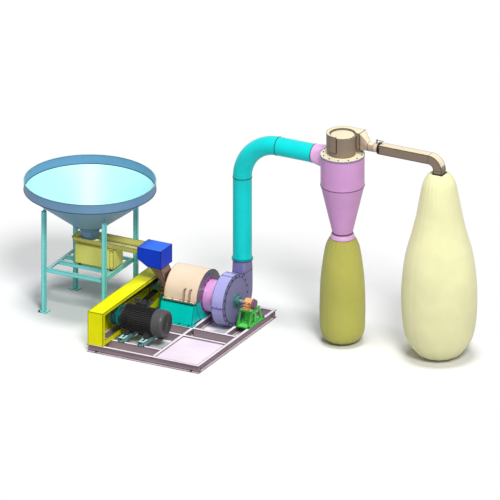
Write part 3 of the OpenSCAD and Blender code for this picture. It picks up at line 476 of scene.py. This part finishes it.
# Mill
# A welded base and lower half in cyan, and a cream cover that swings up on hinges at the back.
# Inside are toothed iron liners and the bladed rotor, whose shaft runs in bearings on two pedestals.
SHAFT_Z = 0.360
BASE_FOOT_TOP = 0.112
BASE_BOLT_START = 0.06
BASE_BOLT_PITCH = 0.13
BASE_BOLT_INSET = 0.015
PEDESTAL_FOOT_TOP = 0.114
PEDESTAL_BOLTS = [((0.468, 0.652), 0.196), ((-0.655, -0.545), 0.166)]
FOOT_BOLT = (0.019, 0.010)
BEARING_X = (-0.600, 0.560)
BEARING_TOP = 0.0618
NIPPLE = [(CORE_R, 0), (0.006, 0), (0.006, 0.006), (0.003, 0.008), (0.004, 0.014), (0.002, 0.018),
          (CORE_R, 0.018)]
base_paint = paint("base_paint", (0.0, 0.86, 0.80), coat=0.0, dust=0.04, gloss=0.15)
dress(base_paint, "mill_base", "lower_chamber", "hinge_lugs", "inner_pedestal")
cover_paint = paint("cover_paint", (0.98, 0.88, 0.76), rough=0.30, gloss=0.5, dust=0.05,
                    other=(0.44, 0.44, 0.47), where=looking(0, 0.8))
dress(cover_paint, "chamber_cover", "cover_handles")
dress(bright_steel, "main_shaft", "hinge_pin", "cover_screws")
liner_iron = iron("liner_iron", (0.52, 0.53, 0.55), 0.5)
dress(liner_iron, "lower_liner", "upper_liner")
rotor_steel = steel("rotor_steel", (0.62, 0.63, 0.66), 0.38)
dress(rotor_steel, "rotor")
bearing_paint = paint("bearing_paint", (0.97, 0.74, 0.50), rough=0.42, dust=0.05)
dress(bearing_paint, "inner_bearing", "outer_bearing")
pedestal_paint = paint("pedestal_paint", (0.38, 0.85, 0.40), rough=0.42, dust=0.05)
dress(pedestal_paint, "outer_pedestal")
cap_paint = paint("cap_paint", (0.60, 0.40, 0.56), rough=0.42, dust=0.05)
dress(cap_paint, "bearing_end_cap")

base_low, base_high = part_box("mill_base")
foot_bolts = [standing((base_low[0] + BASE_BOLT_START + k * BASE_BOLT_PITCH, y, BASE_FOOT_TOP))
              for k in range(4) for y in (base_low[1] + BASE_BOLT_INSET, base_high[1] - BASE_BOLT_INSET)]
for ends, reach in PEDESTAL_BOLTS:
    foot_bolts += [standing((x, y, PEDESTAL_FOOT_TOP)) for x in ends for y in (-reach, reach)]
bolt_set("foot_bolts", foot_bolts, FOOT_BOLT)
work = bmesh.new()
for x in BEARING_X:
    turn(work, NIPPLE, standing((x, 0, SHAFT_Z + BEARING_TOP)), 16)
add_piece("grease_nipples", work, bright_steel)


# Fan
# A welded scroll housing in lilac, with a bladed impeller behind its bolted front plate.
# A pink neck, flanged and bolted at both ends, brings the air and powder to it from the mill.
NECK_BOLT_R = 0.2165
NECK_BOLTS = 16
NECK_BOLT = (0.014, 0.007)
NECK_FLANGE = 0.008
fan_paint = paint("fan_paint", (0.70, 0.69, 0.93), rough=0.26, coat=0.6, dust=0.04)
dress(fan_paint, "fan_housing")
# The front plate and the outlet transition are a darker slate lilac: partly their own paint, partly painted
# shade for faces turned from the light
plate_paint_shaded = paint("plate_paint_shaded", (0.56, 0.54, 0.74), rough=0.38, dust=0.06)
dress(plate_paint_shaded, "fan_front_plate", "outlet_transition")
dress(dark_steel, "fan_plate_bolts")
dress(rotor_steel, "fan_impeller")
seal_iron = iron("seal_iron", (0.27, 0.48, 0.47), 0.5)
dress(seal_iron, "shaft_seal")
neck_paint = paint("neck_paint", (0.93, 0.66, 0.91), rough=0.26, gloss=0.9, dust=0.04,
                   other=(0.84, 0.34, 0.74), where=looking(0, 0.8))
dress(neck_paint, "inlet_neck")

neck_low, neck_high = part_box("inlet_neck")
neck_bolts = []
for x, side in ((neck_low[0] + NECK_FLANGE, 1), (neck_high[0] - NECK_FLANGE, -1)):
    for k in range(NECK_BOLTS):
        angle = 2 * math.pi * (k + 0.5) / NECK_BOLTS
        point = (x, NECK_BOLT_R * math.cos(angle), SHAFT_Z + NECK_BOLT_R * math.sin(angle))
        neck_bolts.append(standing(point, (side, 0, 0)))
bolt_set("neck_bolts", neck_bolts, NECK_BOLT)

# The housing splits at the shaft's height: two lips meet there, with bolts through them
FAN_R = 0.335
FAN_SEAM = 0.004
LIP_REACH = 0.016
LIP_ROOT = 0.004
LIP_THICK = 0.007
LIP_GAP = 0.0005
LIP_BOLT_INSET = 0.024
LIP_BOLT = (0.009, 0.005)
BAR_SOFT = 0.001
fan_low, fan_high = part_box("fan_housing")
seam_start, seam_end = fan_low[0] + FAN_SEAM, fan_high[0] - FAN_SEAM
work = bmesh.new()
for z in (SHAFT_Z - LIP_GAP - LIP_THICK, SHAFT_Z + LIP_GAP):
    block(work, (seam_start, -FAN_R - LIP_REACH, z), (seam_end, -FAN_R + LIP_ROOT, z + LIP_THICK), BAR_SOFT)
for x in (seam_start + LIP_BOLT_INSET, (seam_start + seam_end) / 2, seam_end - LIP_BOLT_INSET):
    bolt(work, standing((x, -FAN_R - LIP_REACH / 2, SHAFT_Z + LIP_GAP + LIP_THICK)), LIP_BOLT)
add_piece("fan_split_lips", work, fan_paint, smooth=False)

# Two flat bars clamp the cover sheet that closes the top of the barrel
BAR_LEAN = math.radians(10)
BAR_HALF = 0.011
BAR_ROOT = 0.002
BAR_THICK = 0.005
work = bmesh.new()
for lean in (-BAR_LEAN, BAR_LEAN):
    bar_place = Matrix.Translation(Vector((0, 0, SHAFT_Z))) @ Matrix.Rotation(lean, 4, "X")
    block(work, (seam_start, -BAR_HALF, FAN_R - BAR_ROOT), (seam_end, BAR_HALF, FAN_R + BAR_THICK),
          BAR_SOFT, bar_place)
add_piece("fan_top_bars", work, fan_paint, smooth=False)


# Pipe
# Rolled sheet pipe in a riser, a bend and a cross run, sprayed bright cyan.
# The lengths are slipped together, with a bead of dark sealant round each joint.
PIPE_R = 0.120
BEAD = 0.0045


def sealant(name, colour, beads):
    shade = Shade(bpy.data.materials.new(name), Roughness=0.6)
    shade.feed("Base Color", shade.mix(shade.clouds(30.0), rgba(colour, 0.7), rgba(colour, 1.3)))
    work = bmesh.new()
    for place, radius in beads:
        ring(work, place, radius, BEAD, 96)
    add_piece(name, work, shade.owner)


pipe_paint = paint("pipe_paint", (0.0, 0.90, 0.90), rough=0.30, coat=0.08, dust=0.02)
dress(pipe_paint, "riser_pipe", "pipe_elbow", "cross_pipe")
riser_x, riser_y = centre("riser_pipe")[:2]
riser_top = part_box("riser_pipe")[1][2]
cross_low, cross_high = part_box("cross_pipe")
cross_z = centre("cross_pipe")[2]
sealant("pipe_joints", (0.02, 0.25, 0.26), [
    (standing((riser_x, riser_y, riser_top)), PIPE_R),
    (standing((cross_low[0], riser_y, cross_z), (1, 0, 0)), PIPE_R),
    (standing((cross_high[0], riser_y, cross_z), (1, 0, 0)), PIPE_R)])


# Cyclone
# A rolled and welded body and inlet, sprayed pink, under a bolted cream lid with a bare edge.
# The product bag is tied under a turned collar at the foot of its cone.
CYCLONE_R = 0.276
CONE_TOP = 2.125
SPOUT_R = 0.129
SPOUT_TOP = 1.487
LID_BARE_R = 0.262
COLLAR = [(0.1302, 1.483), (0.1335, 1.483), (0.158, 1.418), (0.158, 1.412), (0.1365, 1.412), (0.1365, 1.443),
          (0.1302, 1.446)]


# Where a second colour goes: outside a circle seen from above
def outside(centre_x, centre_y, radius):
    def mask(shade):
        flat = shade.node("ShaderNodeVectorMath", {"operation": "MULTIPLY"}, {0: shade.place(), 1: (1, 1, 0)})
        return shade.node("ShaderNodeVectorMath", {"operation": "DISTANCE"},
                          {0: flat, 1: (centre_x, centre_y, 0)}, 1) > radius
    return mask


cyclone_paint = paint("cyclone_paint", (0.90, 0.67, 0.90), rough=0.36, dust=0.05)
dress(cyclone_paint, "cyclone_body")
inlet_paint = paint("inlet_paint", (0.97, 0.77, 0.96), rough=0.36, dust=0.04)
dress(inlet_paint, "cyclone_inlet")
cyclone_x, cyclone_y = centre("cyclone_lid")[:2]
cyclone_axis = Matrix.Translation(Vector((cyclone_x, cyclone_y, 0)))
lid_paint = paint("lid_paint", (0.97, 0.92, 0.78), rough=0.4, dust=0.04, other=(1.0, 1.0, 1.0),
                  where=outside(cyclone_x, cyclone_y, LID_BARE_R))
dress(lid_paint, "cyclone_lid")
dress(dark_steel, "lid_bolts")
sealant("cyclone_joints", (0.30, 0.16, 0.32), [
    (standing((cyclone_x, cyclone_y, CONE_TOP)), CYCLONE_R),
    (standing((cyclone_x, cyclone_y, SPOUT_TOP)), SPOUT_R)])
work = bmesh.new()
turn(work, COLLAR, cyclone_axis, 72)
add_piece("bag_collar", work, inlet_paint)


# Exhaust head
# A drum with a scroll rolled round it, which turns the clean air from the cyclone into the duct.
# It is welded from brown sheet with a cream top, and stands on the cyclone's lid.
BROWN_SHEET = (0.60, 0.53, 0.47)
CREAM_SHEET = (0.98, 0.93, 0.80)
DRUM_CORE_R = 0.001
DRUM_R = 0.166
DRUM_LOW, DRUM_TOP = 2.542, 2.792
DRUM_EDGE = 0.002
CROWN_R = DRUM_R - 0.012
CROWN_SLOPE = 0.001
CROWN_TOP = DRUM_TOP + 0.007
SCROLL_LOW, SCROLL_TOP = 2.604, 2.820
SCROLL_START_R = DRUM_R + 0.010
SCROLL_LAP_R = DRUM_R - 0.004
SCROLL_RATE = 1.25
SCROLL_STEPS = 48
THROAT_X = 0.200
THROAT_NEAR, THROAT_FAR = 0.078, 0.236
drum_paint = paint("drum_paint", BROWN_SHEET, rough=0.42, dust=0.05, other=CREAM_SHEET)
drum_outline = [(DRUM_CORE_R, DRUM_LOW), (DRUM_R, DRUM_LOW), (DRUM_R, DRUM_TOP - DRUM_EDGE),
                (DRUM_R - DRUM_EDGE, DRUM_TOP), (CROWN_R, DRUM_TOP),
                (CROWN_R - CROWN_SLOPE, CROWN_TOP), (DRUM_CORE_R, CROWN_TOP)]
scroll_outline = []
for step in range(SCROLL_STEPS + 1):
    share = step / SCROLL_STEPS
    angle = math.radians(-90 - 180 * share)
    reach = SCROLL_START_R + (THROAT_FAR - SCROLL_START_R) * min(1.0, SCROLL_RATE * share)
    scroll_outline.append((cyclone_x + reach * math.cos(angle), cyclone_y + reach * math.sin(angle)))
scroll_outline += [(cyclone_x + THROAT_X, cyclone_y + y) for y in (THROAT_FAR, THROAT_NEAR)]
lap_start = math.asin(THROAT_NEAR / SCROLL_LAP_R)
for step in range(SCROLL_STEPS + 1):
    angle = lap_start + (1.5 * math.pi - lap_start) * step / SCROLL_STEPS
    scroll_outline.append((cyclone_x + SCROLL_LAP_R * math.cos(angle),
                           cyclone_y + SCROLL_LAP_R * math.sin(angle)))
work = bmesh.new()
turn(work, drum_outline, cyclone_axis, 96)
skin(work, [[work.verts.new((x, y, z)) for x, y in scroll_outline] for z in (SCROLL_LOW, SCROLL_TOP)])
scroll_head = add_piece("scroll_head", work, drum_paint, smooth=False)
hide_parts("exhaust_drum")


# Exhaust duct
# A reducer from the scroll's square mouth to the round damper, then square sheet duct with a bend.
# The damper's blade turns on a spindle in its ring, which a black band clamps to the duct.
BAND_WIDE = 0.025
DUCT_Z = 2.657
REDUCER_R = 0.062
REDUCER_SPANS = 10
REDUCER_TAPER = 0.6
REDUCER_STEPS = 64


# Where a second colour goes: past a place on one axis
def past(axis, place):
    return lambda shade: shade.along(shade.place(), axis) > place


duct_paint = paint("duct_paint", BROWN_SHEET, rough=0.4, dust=0.04, other=(0.98, 0.92, 0.79),
                   where=looking(2, 0.25))
dress(duct_paint, "exhaust_duct", "damper_blade")
ring_low, ring_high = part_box("damper_ring")
ring_paint = paint("ring_paint", (0.92, 0.85, 0.75), rough=0.36, dust=0.04, other=(0.05, 0.05, 0.05),
                   where=past(0, ring_high[0] - BAND_WIDE))
dress(ring_paint, "damper_ring")
reducer_paint = paint("reducer_paint", (0.76, 0.67, 0.59), rough=0.36, dust=0.04, other=CREAM_SHEET)

throat_x = cyclone_x + THROAT_X
throat_y = cyclone_y + (THROAT_NEAR + THROAT_FAR) / 2
throat_z = (SCROLL_LOW + SCROLL_TOP) / 2
half_y, half_z = (THROAT_FAR - THROAT_NEAR) / 2, (SCROLL_TOP - SCROLL_LOW) / 2
duct_y = centre("damper_ring")[1]
work = bmesh.new()
loops = []
for span in range(REDUCER_SPANS + 1):
    share = span / REDUCER_SPANS
    blend = min(1.0, share / REDUCER_TAPER)
    middle = Vector((throat_x + (ring_low[0] - throat_x) * share,
                     throat_y + (duct_y - throat_y) * blend, throat_z + (DUCT_Z - throat_z) * blend))
    loop = []
    for step in range(REDUCER_STEPS):
        angle = 2 * math.pi * (step + 0.5) / REDUCER_STEPS
        c, s = math.cos(angle), math.sin(angle)
        square = min(half_y / abs(c), half_z / abs(s))
        reach = square + (REDUCER_R - square) * blend
        loop.append(work.verts.new(middle + Vector((0, reach * c, reach * s))))
    loops.append(loop)
skin(work, loops)
reducer = add_piece("reducer", work, reducer_paint)
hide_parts("exhaust_transition")

# The reducer, its round end and the bend are pieces of their own, and the joints between them are sealed
DUCT_BEND_R = 0.130
DUCT_HALF = 0.0605
JOINT_HALF = 0.002
JOINT_PROUD = 0.001
JOINT_SOFT = 0.0005
TAPER_BEAD = 0.003
drop_x = centre("exhaust_bag")[0]
bend_x, bend_z = drop_x - DUCT_BEND_R, DUCT_Z - DUCT_BEND_R
taper_x = throat_x + REDUCER_TAPER * (ring_low[0] - throat_x)
work = bmesh.new()
block(work, (throat_x - JOINT_HALF, cyclone_y + THROAT_NEAR - JOINT_PROUD, SCROLL_LOW - JOINT_PROUD),
      (throat_x + JOINT_HALF, cyclone_y + THROAT_FAR + JOINT_PROUD, SCROLL_TOP), JOINT_SOFT)
ring(work, standing((taper_x, duct_y, DUCT_Z), (1, 0, 0)), REDUCER_R, TAPER_BEAD, 48)
block(work, (bend_x - JOINT_HALF, duct_y - DUCT_HALF, DUCT_Z - DUCT_HALF),
      (bend_x + JOINT_HALF, duct_y + DUCT_HALF, DUCT_Z + DUCT_HALF), JOINT_SOFT)
block(work, (drop_x - DUCT_HALF, duct_y - DUCT_HALF, bend_z - JOINT_HALF),
      (drop_x + DUCT_HALF, duct_y + DUCT_HALF, bend_z + JOINT_HALF), JOINT_SOFT)
add_piece("duct_joints", work, dark_steel, smooth=False)


# Hopper and stand
# A spun cone with a straight rim band rolled over a wire, on a welded stand of square tube and angle.
# The seams of band, cone and spout are sealed, and each foot of the stand is anchored to the floor.
RIM_WIRE = 0.006
RIM_INSET = 0.0025
HOPPER_SEAMS = [(1.583, 0.8285), (1.584, 0.8225), (1.125, 0.231)]
STAND_ANCHOR_REACH = 0.468
STAND_FOOT_TOP = 0.010
# The faces that look up, the inside of the cone, are painted pale cyan as painted light from above
hopper_paint_lit_top = paint("hopper_paint_lit_top", (0.42, 0.61, 0.77), rough=0.44, dust=0.02, other=(0.72, 1.0, 1.0),
                     gloss=0.9)
dress(hopper_paint_lit_top, "feed_hopper")
# The stand's upward faces are painted paler than its sides, as painted light from above
stand_paint_lit_top = paint("stand_paint_lit_top", (0.54, 0.97, 0.97), rough=0.4, dust=0.05, line=0.009,
                    other=(0.70, 1.0, 0.98))
dress(stand_paint_lit_top, "stand_legs", "stand_rails")

hopper_low, hopper_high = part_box("feed_hopper")
stand_x, stand_y = centre("feed_hopper")[:2]
rim_r = (hopper_high[0] - hopper_low[0]) / 2 - RIM_INSET
work = bmesh.new()
ring(work, standing((stand_x, stand_y, hopper_high[2])), rim_r, RIM_WIRE, 160)
add_piece("hopper_rim", work, hopper_paint_lit_top)
sealant("hopper_joints", (0.10, 0.18, 0.24),
        [(standing((stand_x, stand_y, height)), radius) for height, radius in HOPPER_SEAMS])
stand_feet = [standing((x, y, STAND_FOOT_TOP))
              for x in (stand_x - STAND_ANCHOR_REACH, stand_x + STAND_ANCHOR_REACH)
              for y in (stand_y - STAND_ANCHOR_REACH, stand_y + STAND_ANCHOR_REACH)]
bolt_set("stand_anchor_bolts", stand_feet, ANCHOR_BOLT)


# Feeder
# A folded trough in two lengths, joined by a strap, which shakes on its drive box.
# The box has a screwed cover at its end, and stands on four rubber mounts on the stand's rails.
STRAP_X = -1.125
STRAP_HALF_X, STRAP_HALF_Y = 0.020, 0.100
STRAP_LOW, STRAP_TOP = 0.8838, 0.8875
COVER_LONG = 0.052
COVER_LAP = 0.003
COVER_TOP = 0.866
COVER_SOFT = 0.0015
COVER_SCREW_X = (0.040, 0.010)
COVER_SCREW_IN = 0.020
# Faces that look straight up, the trough's floor and the strap's top, are painted pale as painted light from
# above
feeder_paint_lit_top = paint("feeder_paint_lit_top", (0.90, 0.87, 0.48), rough=0.38, dust=0.04, other=(1.0, 0.97, 0.72),
                     where=looking(2, 0.9))
dress(feeder_paint_lit_top, "feeder_trough")
# The drive box and its end cover are painted a paler yellow than the trough, as painted light that offsets
# the shadow falling on the box
drive_paint_lit = paint("drive_paint_lit", (0.98, 0.96, 0.50), rough=0.42, dust=0.05)
dress(drive_paint_lit, "feeder_drive_box")
mount_rubber = rubber("mount_rubber", (0.48, 0.12, 0.10))
dress(mount_rubber, "rubber_mounts")

work = bmesh.new()
block(work, (STRAP_X - STRAP_HALF_X, stand_y - STRAP_HALF_Y, STRAP_LOW),
      (STRAP_X + STRAP_HALF_X, stand_y + STRAP_HALF_Y, STRAP_TOP), BAR_SOFT)
add_piece("trough_strap", work, feeder_paint_lit_top, smooth=False, body="feeder")
drive_low, drive_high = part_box("feeder_drive_box")
work = bmesh.new()
block(work, (drive_high[0] - COVER_LONG, drive_low[1] - COVER_LAP, drive_low[2] + COVER_LAP),
      (drive_high[0] + COVER_LAP, drive_high[1] + COVER_LAP, COVER_TOP), COVER_SOFT)
for inset in COVER_SCREW_X:
    for z in (drive_low[2] + COVER_SCREW_IN, COVER_TOP - COVER_SCREW_IN):
        bolt(work, standing((drive_high[0] - inset, drive_low[1] - COVER_LAP, z), (0, -1, 0)), LID_SCREW)
add_piece("drive_end_cover", work, drive_paint_lit, smooth=False)


# Chute
# A folded blue box that takes the stock from the trough, and a welded brown chute under it.
# The chute leads down to the inlet in the chamber's cover.
# The chute box's upward faces are painted a lighter blue than its sides, as painted light from above
chute_paint_lit_top = paint("chute_paint_lit_top", (0.05, 0.25, 0.87), rough=0.45, coat=0.0, dust=0.02, gloss=0.12,
                    other=(0.20, 0.46, 0.98))
dress(chute_paint_lit_top, "chute_box")
brown_paint = paint("brown_paint", (0.60, 0.48, 0.44), rough=0.45, dust=0.05)
dress(brown_paint, "inlet_chute")


# Bags
# Sewn tubes of woven filter cloth, blown full, gathered at the neck under a steel clamp.
# The seams draw in a little, and each bag's foot rests flat on the floor.
WEAVE_ACROSS = 260.0
WEAVE_ALONG = 240.0
WEAVE_DEPTH = 0.0008
NECK_SHARE = 0.20
FOOT_SHARE = 0.10
GATHER_DEPTH = 0.022
GATHER_SWAY = 3
GATHER_SWAYS = 7
PUCKER_DEPTH = 0.020
PUCKERS = 13
DENT_DEPTH = 0.009
DENT_BIAS = 0.35
DENT_SPREAD = 2.2
DENT_CLIMB = 7
SEAM_DEPTH = 0.010
SEAM_WIDTH = 0.05
SEAM_START = 0.6
LEAST_R = 0.001
BAG_RINGS = 150
BAG_STEPS = 120
PRODUCT_OUTLINE = [
    (0.06, 0.0), (0.40, 0.008), (0.66, 0.028), (0.85, 0.062), (0.95, 0.11), (0.99, 0.17), (1.0, 0.26),
    (1.0, 0.36), (0.985, 0.5), (0.94, 0.64), (0.865, 0.77), (0.80, 0.855), (0.735, 0.915), (0.655, 0.955),
    (0.595, 0.978), (0.565, 0.986), (0.49, 0.9895), (0.462, 0.992), (0.458, 1.0)]
EXHAUST_OUTLINE = [
    (0.05, 0.0), (0.36, 0.008), (0.58, 0.030), (0.755, 0.070), (0.875, 0.115), (0.945, 0.170), (0.985, 0.245),
    (0.995, 0.330), (0.98, 0.42), (0.93, 0.51), (0.845, 0.596), (0.72, 0.683), (0.615, 0.77), (0.53, 0.858),
    (0.435, 0.945), (0.33, 0.985), (0.255, 1.0)]


def cloth(name, colour):
    shade = Shade(bpy.data.materials.new(name), Roughness=0.85, Specular_IOR_Level=0.2, Sheen_Weight=0.25,
                  Sheen_Roughness=0.5)
    broad = shade.clouds(1.6, 3.0)
    across = shade.node("ShaderNodeTexWave", {"bands_direction": "Z"},
                        {"Vector": shade.place(), "Scale": WEAVE_ACROSS, "Distortion": 0.6})
    along = shade.node("ShaderNodeTexWave", {"bands_direction": "DIAGONAL"},
                       {"Vector": shade.place(), "Scale": WEAVE_ALONG, "Distortion": 0.6})
    weave = across * along
    tone = shade.mix(shade.step(broad, 0.3, 0.7), rgba(colour, 0.93), rgba(colour, 1.04))
    shade.feed("Base Color", shade.mix(weave * 0.10, tone, rgba(colour, 0.72)))
    shade.feed("Roughness", weave * 0.1 + 0.8)
    shade.bump(weave, 0.2, WEAVE_DEPTH)
    return shade.owner


# A smooth curve through the points of an outline, at a share of the way along it
def curve(points, share):
    spans = len(points) - 1
    i = min(int(share * spans), spans - 1)
    t = share * spans - i
    near = [points[max(0, min(spans, i + k))] for k in (-1, 0, 1, 2)]
    return tuple(0.5 * (2 * b + (c - a) * t + (2 * a - 5 * b + 4 * c - d) * t * t
                        + (3 * b - a - 3 * c + d) * t ** 3) for a, b, c, d in zip(*near))


# The outline gives each ring's share of the greatest radius and of the height
def bag(name, node, outline, material, seed, folds):
    low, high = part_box(node)
    radius, height = (high[0] - low[0]) / 2, high[2]
    middle = Vector((*centre(node)[:2], 0))
    work = bmesh.new()
    loops = []
    for k in range(BAG_RINGS + 1):
        share_r, share_z = curve(outline, k / BAG_RINGS)
        near_neck = max(0.0, (share_z - 1 + NECK_SHARE) / NECK_SHARE)
        near_foot = max(0.0, 1 - share_z / FOOT_SHARE)
        sway = GATHER_SWAY * math.sin(share_z * GATHER_SWAYS)
        loop = []
        for step in range(BAG_STEPS):
            angle = 2 * math.pi * step / BAG_STEPS
            gather = GATHER_DEPTH * near_neck ** 2 * math.cos(folds * angle + sway)
            pucker = PUCKER_DEPTH * near_foot * math.cos(PUCKERS * angle + seed)
            cloud = noise.noise(on_circle(DENT_SPREAD, angle, share_z * DENT_CLIMB + seed))
            dent = DENT_DEPTH * (cloud - DENT_BIAS)
            seam = -SEAM_DEPTH * math.exp(-(math.sin(angle * 2 + SEAM_START) / SEAM_WIDTH) ** 2)
            share = share_r * (1 + gather + pucker) + (dent + seam) * (1 - near_neck)
            r = max(radius * min(share, 1.0), LEAST_R)
            loop.append(work.verts.new(middle + on_circle(r, angle, share_z * height)))
        loops.append(loop)
    skin(work, loops)
    piece = add_piece(name, work, material)
    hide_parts(node)


olive_cloth = cloth("olive_cloth", (0.76, 0.75, 0.37))
bag("product_bag_cloth", "product_bag", PRODUCT_OUTLINE, olive_cloth, 3.0, 22)
cream_cloth = cloth("cream_cloth", (1.0, 0.99, 0.77))
bag("exhaust_bag_cloth", "exhaust_bag", EXHAUST_OUTLINE, cream_cloth, 8.0, 26)
dress(dark_steel, "bag_clamps")


# Light
# An even pale room, one soft sun overhead and a lower one from the viewer's side.
# The eye, and gloss, see a white backdrop all round.
ROOM_LEVEL = 0.20
WHITE = (1, 1, 1, 1)
SUN_SPREAD = math.radians(16)
SUNS = {"high_sun": (0.50, (0.0, 0.10, 1.0)), "near_sun": (0.56, (0.16, 0.68, 0.70))}
world = bpy.data.worlds.new("room")
bpy.context.scene.world = world
room = Shade(world, "World Output")
room.tree.nodes.remove(room.tree.nodes["Background"])
seen = room.node("ShaderNodeBackground", None, {"Color": WHITE})
ambient = room.node("ShaderNodeBackground", None, {"Color": WHITE, "Strength": ROOM_LEVEL})
by_camera = room.node("ShaderNodeLightPath", output="Is Camera Ray")
by_gloss = room.node("ShaderNodeLightPath", output="Is Glossy Ray")
either = by_camera.maths("MAXIMUM", by_camera, by_gloss)
room.feed("Surface", room.node("ShaderNodeMixShader", None, {0: either, 1: ambient, 2: seen}))

near = Vector((-ahead.x, -ahead.y, 0)).normalized()
for name, (level, (to_right, to_near, over)) in SUNS.items():
    sun_data = bpy.data.lights.new(name, "SUN")
    sun_data.energy = level * math.pi
    sun_data.angle = SUN_SPREAD
    sun = bpy.data.objects.new(name, sun_data)
    bpy.context.scene.collection.objects.link(sun)
    to_sun = right * to_right + near * to_near + Vector((0, 0, over))
    sun.rotation_euler = to_sun.to_track_quat("Z", "Y").to_euler()
bpy.context.scene.view_settings.view_transform = "Standard"
